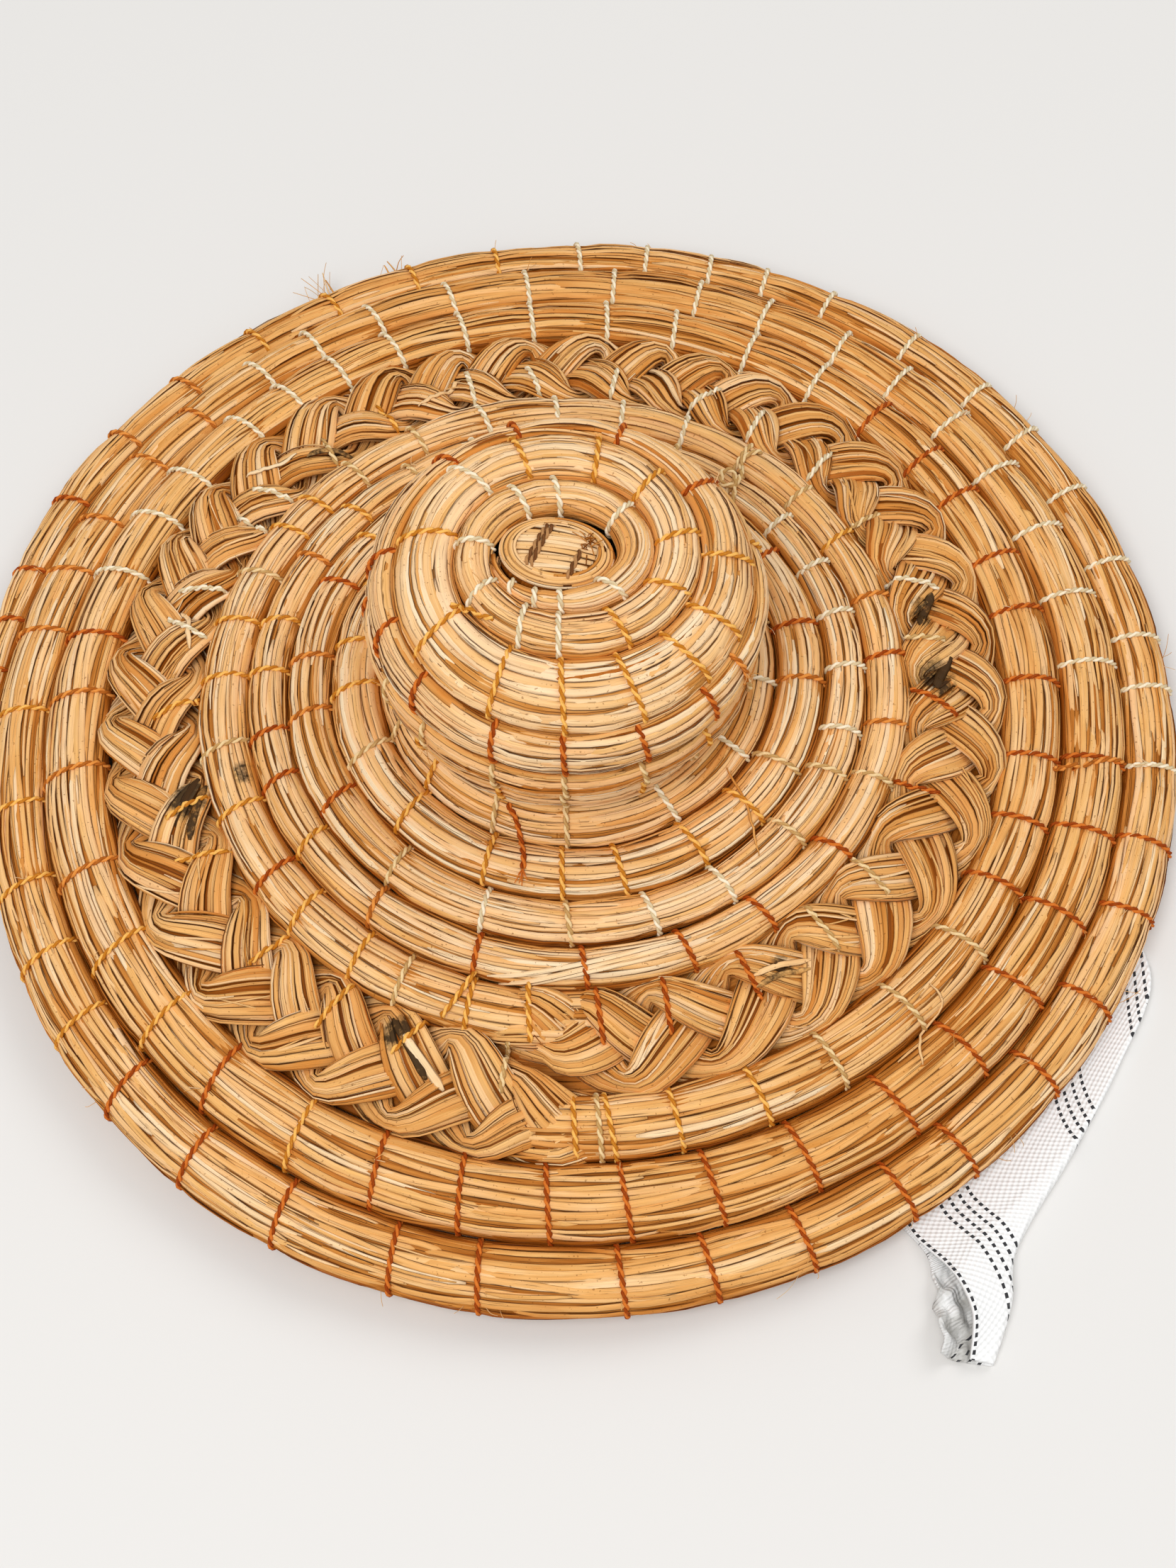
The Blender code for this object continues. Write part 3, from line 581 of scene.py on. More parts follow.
# the hearts' low tints are painted shade in the gaps between stems
coil_heart(crown[1], "upper", COIL_START, CROWN_TURNS + 0.01, 0.44)
coil_heart(cone[1], "upper", CROWN_TURNS - 0.01, PLAIT_TURN + 0.012, 0.34)
coil_heart(brim[1], "brim", -0.012, TAIL_END, 0.30)
coil_stems("upper", upper_mesh, upper_shade)
coil_stems("brim", brim_mesh, brim_shade)
coil_splinters("upper", 330, upper_mesh, upper_shade)
coil_splinters("brim", 300, brim_mesh, brim_shade)
for first, last, phi, wide in ((8.61, 8.66, 1.3, 1.0), (7.3, 7.36, 1.2, 0.9), (7.62, 7.67, 1.5, 0.9)):
    begin, end = np.interp((first, last), ZONES["upper"]["turns"], ZONES["upper"]["lengths"])
    coil_stem(cone[0], "upper", begin, end, phi, wide, 0.12, 0.86)
for first, last, phi, wide in ((0.02, 0.075, 1.2, 1.1), (0.30, 0.36, 1.6, 1.0), (1.88, 1.93, 1.5, 1.0), (2.06, 2.12, 1.1, 1.0)):
    begin, end = np.interp((first, last), ZONES["brim"]["turns"], ZONES["brim"]["lengths"])
    coil_stem(brim[0], "brim", begin, end, phi, wide, 0.12, 0.84)
for tubes, part in zip(crown, ("outside", "inside")):
    tubes.piece(f"crown_straws_{part}", STRAW, "straw_crown", *(("crown_coil",) if part == "inside" else ()))
for tubes, part in zip(cone, ("outside", "inside")):
    tubes.piece(f"cone_straws_{part}", STRAW, "straw_body", *(("cone_coil",) if part == "inside" else ()))
for tubes, part in zip(brim, ("outside", "inside", "edge")):
    tubes.piece(f"brim_straws_{part}", STRAW, "straw_body", *(("brim_coil",) if part == "inside" else ()))

# The oval knot of stems that the coil starts from
WAD_MIDDLE, WAD_HALF, WAD_TURN = np.array((-1.8, 0.8, 107.2)), np.array((15.6, 11.0, 4.5)), math.radians(-11)
WAD_CORE = 0.68


def wad_points(x, y, lift=0.0):
    """Points on the knot's upper face at x and y from its middle, and the outward directions."""
    x, y = np.broadcast_arrays(np.asarray(x, float), np.asarray(y, float))
    z = WAD_HALF[2] * np.sqrt(np.maximum(1 - (x / WAD_HALF[0]) ** 2 - (y / WAD_HALF[1]) ** 2, 0.0))
    out = unit(np.stack([x / WAD_HALF[0] ** 2, y / WAD_HALF[1] ** 2, np.maximum(z, 0.2) / WAD_HALF[2] ** 2], -1))
    spin = np.array(((math.cos(WAD_TURN), math.sin(WAD_TURN), 0), (-math.sin(WAD_TURN), math.cos(WAD_TURN), 0), (0, 0, 1)))
    return (np.stack([x, y, z], -1) + out * np.asarray(lift)[..., None]) @ spin + WAD_MIDDLE, out @ spin


wad = Tubes()
# the knot's body under its stems, tinted dark as painted shade where it shows between them
turn = np.linspace(0, 2 * math.pi, 49)[:-1]
rings = []
for share, drop in ((1.0, -4.3), (1.0, -0.8), (0.8, -0.8), (0.55, -0.8), (0.25, -0.8), (0.02, -0.8)):
    x, y = WAD_HALF[0] * share * np.cos(turn), WAD_HALF[1] * share * np.sin(turn)
    rings.append(wad_points(x, y)[0] + (0, 0, drop))
wad.skin(np.stack(rings), np.zeros(48), np.arange(6) * 3.0, np.arange(48) * 1.7, (0.15, 0.0, 0.0))
for lane in np.arange(-6, 7) * 1.12:
    reach = WAD_HALF[0] * WAD_CORE * math.sqrt(1 - (lane / (WAD_HALF[1] * WAD_CORE + 0.8)) ** 2)
    x = np.linspace(-reach, reach, 18)
    points, ways = wad_points(x, lane + chance.uniform(-0.3, 0.3) + chance.normal(0, 0.5) * x / 16, np.full(18, chance.uniform(-0.45, 0.05)))
    wad.add(points, ways, chance.uniform(0.55, 0.85), 0.32, tint=chance.uniform(0.66, 0.92), roll=chance.normal(0, 0.1))
for share in np.linspace(WAD_CORE + 0.05, 0.98, 6):
    for side in range(4):
        first = 0.5 * math.pi * (side + chance.uniform(-0.3, 0.3))
        t = np.linspace(first, first + chance.uniform(1.7, 2.4), 26)
        near = share + chance.uniform(-0.02, 0.02)
        points, ways = wad_points(WAD_HALF[0] * near * np.cos(t), WAD_HALF[1] * near * np.sin(t), np.full(26, chance.uniform(-0.35, 0.15)))
        wad.add(points, ways, chance.uniform(0.42, 0.62), 0.30, tint=np.clip(chance.normal(0.66, 0.14), 0.2, 0.92), roll=chance.normal(0, 0.15))
wad.piece("wad_straws", STRAW, "straw_crown", "centre_wad")


def twine(tubes, points, out, loop=False):
    """Two plies twisted round each other along points. A loop closes on itself after whole twists."""
    steps = np.linalg.norm(np.diff(points, axis=0), axis=1)
    length = np.concatenate([[0], np.cumsum(steps)])
    total = length[-1] + (np.linalg.norm(points[0] - points[-1]) if loop else 0)
    twists = total / 4.8
    if loop:
        twists = round(twists)
    ahead = np.roll(points, -1, 0) - np.roll(points, 1, 0) if loop else np.gradient(points, axis=0)
    across = unit(np.cross(out, ahead))
    up = unit(np.cross(ahead, across))
    for ply in (0, math.pi):
        turn = (2 * math.pi * twists * length / total + ply)[:, None]
        # painted light and shade on the twist: one ply is tinted pale and the other dark
        tubes.add(points + 0.44 * (np.cos(turn) * up + np.sin(turn) * across), up, 0.47, 0.47, PLY,
                  tint=0.27 if ply else 0.68, loop=loop)


threads = {letter: Tubes() for letter in TWINES}
for zone, facts in ZONES.items():
    for turns, letter in facts["stitches"]:
        slant = chance.uniform(0.5, 2.6) / (2 * math.pi * Section(zone, turns).middle[0])
        phi = np.linspace(math.pi, -math.pi, 57)[:-1]
        part = Section(zone, turns + slant * (1 + np.cos(phi)) / 2 + 0.0 * phi)
        flat, out = part.round_points(phi, 0.1)
        points, ways = part.place(flat, out)
        points[:, 2] = np.maximum(points[:, 2], 0.9)
        twine(threads[letter], points, ways, loop=True)
# Brown wraps over the knot
for begin, end in (((-3.2, 7.8), (-7.4, -7.2)), ((-2.0, 7.8), (-6.1, -7.4)), ((6.6, 0.5), (4.4, -8.4))):
    line = np.linspace(begin, end, 26)
    points, ways = wad_points(line[:, 0], line[:, 1], 0.45 - 1.6 * np.abs(np.linspace(-1, 1, 26)) ** 6)
    twine(threads["B"], points, ways)


STRAND_REACH_WIDE, STRAND_EDGE_WIDE = 7.4, 2.9
STRAND_RISE, STRAND_SPREAD = 3.4, 2.0
PLAIT_LANES, PLAIT_STATIONS = 34, 330
PLAIT_FROM, PLAIT_TO = -0.04, 1.012


def soft_step(x):
    x = np.clip(x, 0, 1)
    return x * x * (3 - 2 * x)


def strand_line(number, turns):
    """Middle line of one strand: it crosses over inward and under outward, once each way in a period. The plait
    opens out of the cone's last round and closes into the brim's first."""
    swing = 2 * math.pi * (PLAIT_PERIODS * np.interp(turns, (-0.1, 0, 0.25, 1, 1.1), (-0.09, 0, 0.2175, 1, 1.1)) + number / 3)
    swing = swing + 0.16 * np.sin(2 * math.pi * 4 * turns + 1.0) + 0.12 * np.sin(2 * math.pi * 9 * turns)
    s_in = EDGES[PLAIT_TURN] + LAST_CONE_STEP * turns
    s_out = BRIM_EDGES[0] + BRIM_ROUNDS[0] * turns
    opening, closing = soft_step((turns + 0.03) / 0.06), soft_step((turns - 0.955) / 0.055)
    bundle_middle, bundle_reach = s_in + LAST_CONE_STEP / 2, 4.0
    middle = bundle_middle + ((s_in + s_out) / 2 - bundle_middle) * opening + 6.1 * closing
    reach = (s_out - s_in) / 2 - STRAND_EDGE_WIDE + 0.8
    reach = reach * (1 + 0.06 * np.sin(2 * math.pi * 5 * turns + 2.1 * number))
    reach = (bundle_reach + (reach - bundle_reach) * opening) * (1 - 0.55 * closing)
    s = middle + reach * (np.sin(swing) - 0.08 * np.sin(3 * swing)) / 1.08
    flat, normal = middle_point(s)
    near_end = np.clip(1 - np.minimum(turns - PLAIT_FROM, PLAIT_TO - turns) / 0.022, 0, 1)
    flat = flat - normal * (STRAND_RISE * np.sin(2 * swing) * (1 - near_end) + 2.5 * near_end ** 2)[:, None]
    a = 2 * math.pi * turns
    points = np.stack([flat[:, 0] * np.sin(a), -flat[:, 0] * np.cos(a), flat[:, 1] + RAISE], -1)
    faces = np.stack([normal[:, 0] * np.sin(a), -normal[:, 0] * np.cos(a), normal[:, 1]], -1)
    crossing = np.abs(np.cos(swing))
    return settled(points), faces, crossing


def plait_bed(tubes):
    """Straws that run on under the plait, seen in its notches, tinted dark as painted shade."""
    turns = np.linspace(-0.03, 1.03, 120)
    for lane in range(15):
        share = (lane + 0.5) / 15
        s_in = EDGES[PLAIT_TURN] + LAST_CONE_STEP * turns
        s_out = BRIM_EDGES[0] + BRIM_ROUNDS[0] * turns
        s = s_in + (s_out - s_in) * share + 0.5 * np.sin(turns * chance.uniform(30, 60) + chance.uniform(0, 6.3))
        points, ways = skin_line_at(np.degrees(2 * math.pi * turns), s, -half_thickness(s) - 3.2 + 0 * s)
        tubes.add(points, ways, chance.uniform(1.2, 1.5), 0.4, tint=chance.uniform(0.10, 0.3), roll=chance.normal(0, 0.1))


def skin_line_at(degrees, s, lift=0.0):
    """Points above the hat's upper face at angles and distances from the top, and the upward directions."""
    flat, normal = middle_point(np.asarray(s, float))
    flat = flat + normal * (half_thickness(s) + lift)[:, None]
    a = np.radians(degrees)
    points = np.stack([flat[:, 0] * np.sin(a), -flat[:, 0] * np.cos(a), flat[:, 1] + RAISE], -1)
    return settled(points), np.stack([normal[:, 0] * np.sin(a), -normal[:, 0] * np.cos(a), normal[:, 1]], -1)


def round_strand(line, side, up, half_wide, half_thick, t, lift):
    """Points round a strand's middle line at angles t, raised by lift, and the outward directions."""
    across, rise = np.cos(t)[:, None], np.sin(t)[:, None]
    wide, thick = half_wide[:, None], half_thick[:, None]
    out = unit(side * across / wide + up * rise / thick)
    return line + side * wide * across + up * thick * rise + out * lift[:, None], out


plait = []
for number in range(3):
    strand = Tubes()
    turns = np.linspace(PLAIT_FROM, PLAIT_TO, PLAIT_STATIONS)
    line, face, crossing = strand_line(number, turns)
    ahead = unit(np.gradient(line, axis=0))
    side = unit(np.cross(ahead, face))
    up = unit(np.cross(side, ahead))
    half_wide = STRAND_EDGE_WIDE + (STRAND_REACH_WIDE - STRAND_EDGE_WIDE) * crossing ** 0.8
    half_wide = half_wide * (1 + 0.10 * np.sin(2 * math.pi * 8.3 * turns + 1.9 * number))
    half_thick = 2.7 - 0.6 * crossing
    # a core inside each strand, tinted dark as painted shade, fills the gaps between its straws
    rings = []
    for k in range(40):
        t = -2 * math.pi * k / 40
        shrink = 0.94 - 0.08 * (k % 2)
        rings.append(line + side * (half_wide * math.cos(t) * shrink)[:, None]
                     + up * ((half_thick - 0.5) * math.sin(t) * shrink)[:, None])
    strand.skin(np.stack(rings, 1), np.zeros(40), np.arange(PLAIT_STATIONS) * 1.7, np.arange(40) * 1.7, (0.12, 0.0, 0.2))
    last = PLAIT_STATIONS - 1
    for lane in range(PLAIT_LANES):
        begin = 0
        while begin < last:
            end = min(begin + int(chance.uniform(22, 110)), last)
            if last - end < 20:
                end = last
            part = slice(begin, end + 1)
            begin = end - 2 if end < last else last
            share = np.linspace(0, 1, part.stop - part.start)
            t, _ = angle_round(STRAND_SPREAD, 1.0, 1.0, (lane + chance.uniform(-0.4, 0.4)) / PLAIT_LANES)
            t = t + chance.normal(0, 0.28) * (share - 0.5) + 0.06 * np.sin(share * chance.uniform(4, 14))
            whole = ends(1.0, share, 0.08)
            lift = chance.uniform(-0.75, 0.5) - 1.2 * (1 - whole)
            points, out = round_strand(line[part], side[part], up[part], half_wide[part], half_thick[part], t, lift)
            wide = chance.choice((0.36, 0.5, 0.7, 0.95, 1.3)) * (0.60 + 0.40 * crossing[part]) * (0.4 + 0.6 * whole)
            tint = np.clip(chance.normal(0.57, 0.115) + (0.18 if chance.uniform() < 0.12 else 0.0), 0.28, 0.90)
            strand.add(points, out, wide, chance.uniform(0.24, 0.38), tint=tint, stain=stain_at(points),
                       blush=chance.uniform(0, 1) ** 2, roll=chance.normal(0, 0.14))
    # split slivers that lie across the lobes and lift at one end
    for _ in range(90):
        begin = chance.integers(10, last - 24)
        part = slice(begin, begin + chance.integers(4, 12))
        share = np.linspace(0, 1, part.stop - part.start)
        t = chance.uniform(0.5, 2.6) + chance.normal(0, 0.5) * (share - 0.5)
        lift = 0.3 + chance.uniform(0, 0.9) * (share if chance.uniform() < 0.5 else 1 - share) ** 2
        points, out = round_strand(line[part], side[part], up[part], half_wide[part], half_thick[part], t, lift)
        strand.add(points, out, chance.uniform(0.2, 0.55) * (0.4 + 0.6 * ends(1.0, share, 0.3)), 0.14,
                   tint=np.clip(chance.normal(0.66, 0.15), 0.2, 0.86), stain=stain_at(points), roll=chance.normal(0, 0.3))
    if number == 0:
        plait_bed(strand)
    letter = "abc"[number]
    strand.piece(f"plait_straws_{letter}", STRAW, "straw_plait", f"plait_strand_{letter}")
    plait.append(strand)


def laid_on(grounds, points, ways, gap):
    """The points lowered along their directions onto what lies below, smoothed, and kept gap above it."""
    drop = np.zeros(len(points))
    for i, (p, w) in enumerate(zip(points, ways)):
        far = [g.ray_cast(Vector(p + 14 * w), Vector(-w), 30.0)[3] for g in grounds]
        far = [f for f in far if f is not None]
        drop[i] = min(far) - 14 if far else 0.0
    height = -drop
    bridge = np.maximum(height, np.convolve(np.pad(height, 2, mode="edge"), np.full(5, 0.2), "valid"))
    return points + ways * (bridge + gap)[:, None]


# Stitches from the cone's last round over the inner half of the plait
PLAIT_STITCHES = (
    "-16O -7O 4R 15R 28R 42C 54C 71R 88R 98C 110W 122C 134W 147W 159W 172W 184W 195W 209O 221C 231W 238W 251W 260W"
    " 271O 288O 298O 314O 327O 339O 351C")
plait_ground = [strand.ground() for strand in plait]
for word in PLAIT_STITCHES.split():
    degrees = float(word[:-1])
    s_in = EDGES[PLAIT_TURN] + LAST_CONE_STEP * degrees / 360
    s = np.linspace(s_in - 0.5, s_in + chance.uniform(11.0, 15.5), 22)
    points, ways = skin_line_at(degrees + np.linspace(0, chance.uniform(-3.5, 2.0), 22), s)
    points = laid_on(plait_ground, points, ways, 0.45)
    points[[0, -1]] -= ways[[0, -1]] * 2.0
    twine(threads[word[-1]], points, ways)

# Loose ends: single straws and thread tails that lie on the hat, and wisps that stand off its rim
hat_ground = plait_ground + [tubes.ground() for tubes in (crown[0], cone[0], brim[0], brim[2])]
loose = Tubes()


def smooth_line(keys, count):
    """Points on a smooth curve through the keys, evenly spread over them."""
    t = np.linspace(0, len(keys) - 1, count)
    i = np.minimum(t.astype(int), len(keys) - 2)
    f = (t - i)[:, None]
    p = [keys[np.clip(i + k, 0, len(keys) - 1)] for k in (-1, 0, 1, 2)]
    return 0.5 * (2 * p[1] + (p[2] - p[0]) * f + (2 * p[0] - 5 * p[1] + 4 * p[2] - p[3]) * f * f
                  + (3 * p[1] - p[0] - 3 * p[2] + p[3]) * f ** 3)


def line_on_hat(keys, count, gap, lifts=None):
    """A smooth line through keys of angle and distance from the top, laid on the hat, raised by lifts."""
    spots = smooth_line(np.array(keys, float), count)
    points, ways = skin_line_at(spots[:, 0], spots[:, 1])
    points = laid_on(hat_ground, points, ways, gap)
    if lifts is not None:
        points = points + ways * np.interp(np.linspace(0, 1, count), np.linspace(0, 1, len(lifts)), lifts)[:, None]
    return points, ways


for keys, wide, tint, stain in (
    (((53.0, 109.0), (47.0, 121.5), (41.5, 132.5)), 0.35, 0.45, 0.0),
    (((346.0, 148.3), (351.5, 146.8), (362.0, 143.2), (373.0, 141.6), (382.0, 142.0)), 0.75, 0.93, 0.0),
    (((348.0, 149.6), (353.5, 148.0), (363.0, 144.5), (374.0, 142.9), (381.0, 143.2)), 0.80, 0.86, 0.0),
    (((352.0, 149.4), (360.0, 146.4), (369.0, 144.6), (377.0, 144.4)), 0.65, 0.90, 0.0),
    (((40.0, 204.1), (41.5, 198.1), (46.5, 196.1), (47.0, 189.1)), 0.40, 0.75, 0.0),
    (((337.0, 170.1), (340.5, 175.1), (344.0, 180.6)), 1.3, 0.88, 0.10),
    (((334.5, 167.1), (338.5, 173.1), (341.5, 179.1)), 1.2, 0.5, 0.85),
    (((28.5, 158.6), (32.5, 159.6), (37.5, 163.1)), 0.9, 0.74, 0.34),
    (((28.0, 161.6), (32.5, 162.1), (36.5, 165.1)), 0.8, 0.6, 0.62),
    (((284.5, 163.1), (287.5, 167.6), (290.5, 173.1)), 1.5, 0.35, 0.95),
    (((286.0, 161.6), (289.5, 166.1), (293.0, 171.1)), 1.3, 0.5, 0.75),
    (((88.5, 160.1), (91.0, 162.1), (94.5, 166.1)), 1.5, 0.45, 0.9),
    (((100.5, 159.1), (103.0, 162.1), (106.0, 166.1)), 1.4, 0.5, 0.85),
    (((217.5, 160.1), (220.5, 164.1), (223.5, 167.1)), 1.1, 0.55, 0.7),
    (((231.0, 179.1), (228.0, 175.1), (224.0, 171.1)), 0.8, 0.9, 0.0),
    (((255.0, 173.1), (257.0, 168.1), (262.0, 165.1)), 0.8, 0.85, 0.0),
    (((196.0, 171.1), (199.0, 166.1), (204.0, 163.1)), 0.8, 0.8, 0.0),
):
    points, ways = line_on_hat(keys, 16, 0.25)
    narrow = 0.35 + 0.65 * ends(1.0, np.linspace(0, 1, 16), 0.2)
    loose.add(points, ways, wide * narrow, min(0.3, 0.7 * wide), tint=tint, stain=stain)
# a rust tail that has come unsewn, and its frayed end
points, ways = line_on_hat(((340.5, 97.5), (342.5, 102.0), (346.3, 109.5), (348.3, 114.5), (348.8, 118.0)), 26, 0.5)
twine(threads["R"], points, ways)
for _ in range(9):
    side = np.cross(ways[-1], unit(points[-1] - points[-4]))
    tip = points[-1] + unit(points[-1] - points[-4]) * chance.uniform(1.6, 5.0) + side * chance.normal(0, 1.2) + ways[-1] * chance.uniform(0, 0.8)
    fibre = np.linspace(points[-1], tip, 5)
    threads["R"].add(fibre, np.tile(ways[-1], (5, 1)), 0.14, 0.12, PLY, tint=0.7)
# an ochre tail on the crown, a curled cream tail, and a tail on the right
points, ways = line_on_hat(((297.5, 33.0), (306.5, 29.8), (318.5, 27.6)), 20, 0.5)
twine(threads["O"], points, ways)
points, ways = line_on_hat(((138.5, 125.6), (140.0, 131.1), (142.8, 135.6), (144.8, 134.1), (143.5, 131.3), (141.3, 134.1),
                            (142.6, 140.1), (144.6, 146.1), (143.0, 152.1)), 54, 0.5, (0, 1.0, 3.0, 3.5, 3.0, 2.0, 1.5, 0.8, 0))
twine(threads["C"], points, ways)
points, ways = line_on_hat(((80.5, 196.6), (81.5, 204.1), (83.0, 211.1), (84.0, 220.1)), 30, 0.5)
twine(threads["G"], points, ways)
# frayed fibres at the stitches
for zone, facts in ZONES.items():
    for number in chance.choice(len(facts["stitches"]), 40, replace=False):
        turns = facts["stitches"][number][0]
        part = Section(zone, np.array([turns]))
        flat, out = part.round_points(np.array([chance.uniform(0.5, 2.6)]), np.array([0.3]))
        start, way = (found[0] for found in part.place(flat, out))
        for _ in range(chance.integers(1, 4)):
            reach = chance.normal(0, 1, 3) * (2.0, 2.0, 0.6) + way * chance.uniform(0.4, 1.6)
            bend = np.array((start, start + 0.5 * reach + 0.4 * way, start + reach))
            loose.add(smooth_line(bend, 6), np.tile(way, (6, 1)), 0.10, 0.09, PLY, tint=chance.uniform(0.4, 0.9))
# dark frayed fibres of the knot on the wad
for _ in range(22):
    start, way = wad_points(np.array([7.6 + chance.normal(0, 0.8)]), np.array([2.6 + chance.normal(0, 1.4)]), np.array([0.3]))
    reach = chance.normal(0, 1, 3) * (1.6, 1.6, 0.3) + (0, 0, 0.5)
    bend = np.array((start[0], start[0] + 0.5 * reach + (0, 0, 0.4), start[0] + reach))
    loose.add(smooth_line(bend, 6), np.tile(way[0], (6, 1)), 0.16, 0.14, PLY, tint=chance.uniform(0.05, 0.4))
# wisps along the rim: a tuft at the back left and single fibres elsewhere
for degrees, count, reach, spread in ((205.5, 12, 14.0, 4.0), (198.0, 5, 8.0, 3.0), (352.0, 3, 6.0, 4.0), (60.0, 2, 12.0, 5.0),
                                      (96.0, 3, 8.0, 5.0), (128.0, 2, 7.0, 4.0), (172.0, 3, 5.0, 3.0), (310.0, 2, 6.0, 3.0),
                                      (20.0, 3, 7.0, 5.0), (42.0, 3, 8.0, 5.0)):
    for _ in range(count):
        angle = degrees + chance.uniform(-1.6, 1.6)
        part = Section("brim", np.array([angle / 360 + (2 if angle < 284 else 1)]))
        flat, out = part.round_points(np.array([chance.uniform(0.1, 0.9)]), np.array([-0.8]))
        start, way = (found[0] for found in part.place(flat, out))
        tangent = np.array((math.cos(math.radians(angle)), math.sin(math.radians(angle)), 0.0))
        tip = start + way * chance.uniform(0.5, 1.0) * reach * (0.9 if count > 3 else 0.7) + tangent * chance.normal(0, spread) + (0, 0, chance.uniform(-1, 3))
        bend = np.array((start, (start + tip) / 2 + way * chance.uniform(0, 1.5), tip))
        thin = chance.choice((0.14, 0.24, 0.36)) if count > 3 else 0.09
        loose.add(smooth_line(bend, 9), np.tile(way, (9, 1)), thin * np.linspace(1, 0.5, 9), 0.09, PLY, tint=chance.uniform(0.5, 0.95))
loose.piece("loose_straw_ends", STRAW, "straw_body")

# Head band: flat straws woven over and under upright ones, with a twine edge above and below
BAND_RADIUS, BAND_LOW, BAND_HIGH, BAND_WAVES, BAND_ROWS = 86.9, 10.0, 32.0, 46, 9
BAND_CLEAR = 89.0
band = Tubes()
turn = np.linspace(0, 2 * math.pi, 8 * BAND_WAVES + 1)[:-1]
around = np.stack([np.sin(turn), -np.cos(turn), np.zeros_like(turn)], -1)
row_high = (BAND_HIGH - BAND_LOW - 2.4) / BAND_ROWS
for row in range(BAND_ROWS):
    z = BAND_LOW + 1.2 + (row + 0.5) * row_high
    r = BAND_RADIUS + 0.42 * np.sin(BAND_WAVES * turn + row * math.pi)
    points = around * r[:, None] + (0, 0, z)
    band.add(points, around, 0.5 * row_high, 0.26, tint=chance.uniform(0.5, 0.8), blush=chance.uniform(0, 0.6), loop=True)
for stake in range(2 * BAND_WAVES):
    a = (stake + 0.5) * math.pi / BAND_WAVES
    z = np.linspace(BAND_LOW + 0.5, BAND_HIGH - 0.5, 4 * BAND_ROWS + 1)
    row = (z - BAND_LOW - 1.2) / row_high - 0.5
    r = BAND_RADIUS - 0.42 * (1 if stake % 2 == 0 else -1) * np.cos(math.pi * row)
    way = np.array((math.sin(a), -math.cos(a), 0.0))
    points = way * r[:, None] + np.stack([0 * z, 0 * z, z], -1)
    band.add(points, np.tile(way, (len(z), 1)), chance.uniform(0.9, 1.3), 0.24, tint=chance.uniform(0.4, 0.75), stain=0.0)
band.piece("head_band_weave", STRAW, "head_band", "head_ring")
band_edge = Tubes()
for z in (BAND_LOW + 0.95, BAND_HIGH - 0.95):
    twine(band_edge, around * BAND_RADIUS + (0, 0, z), around, loop=True)
band_edge.piece("head_band_edges", TWINES["C"], "head_band")


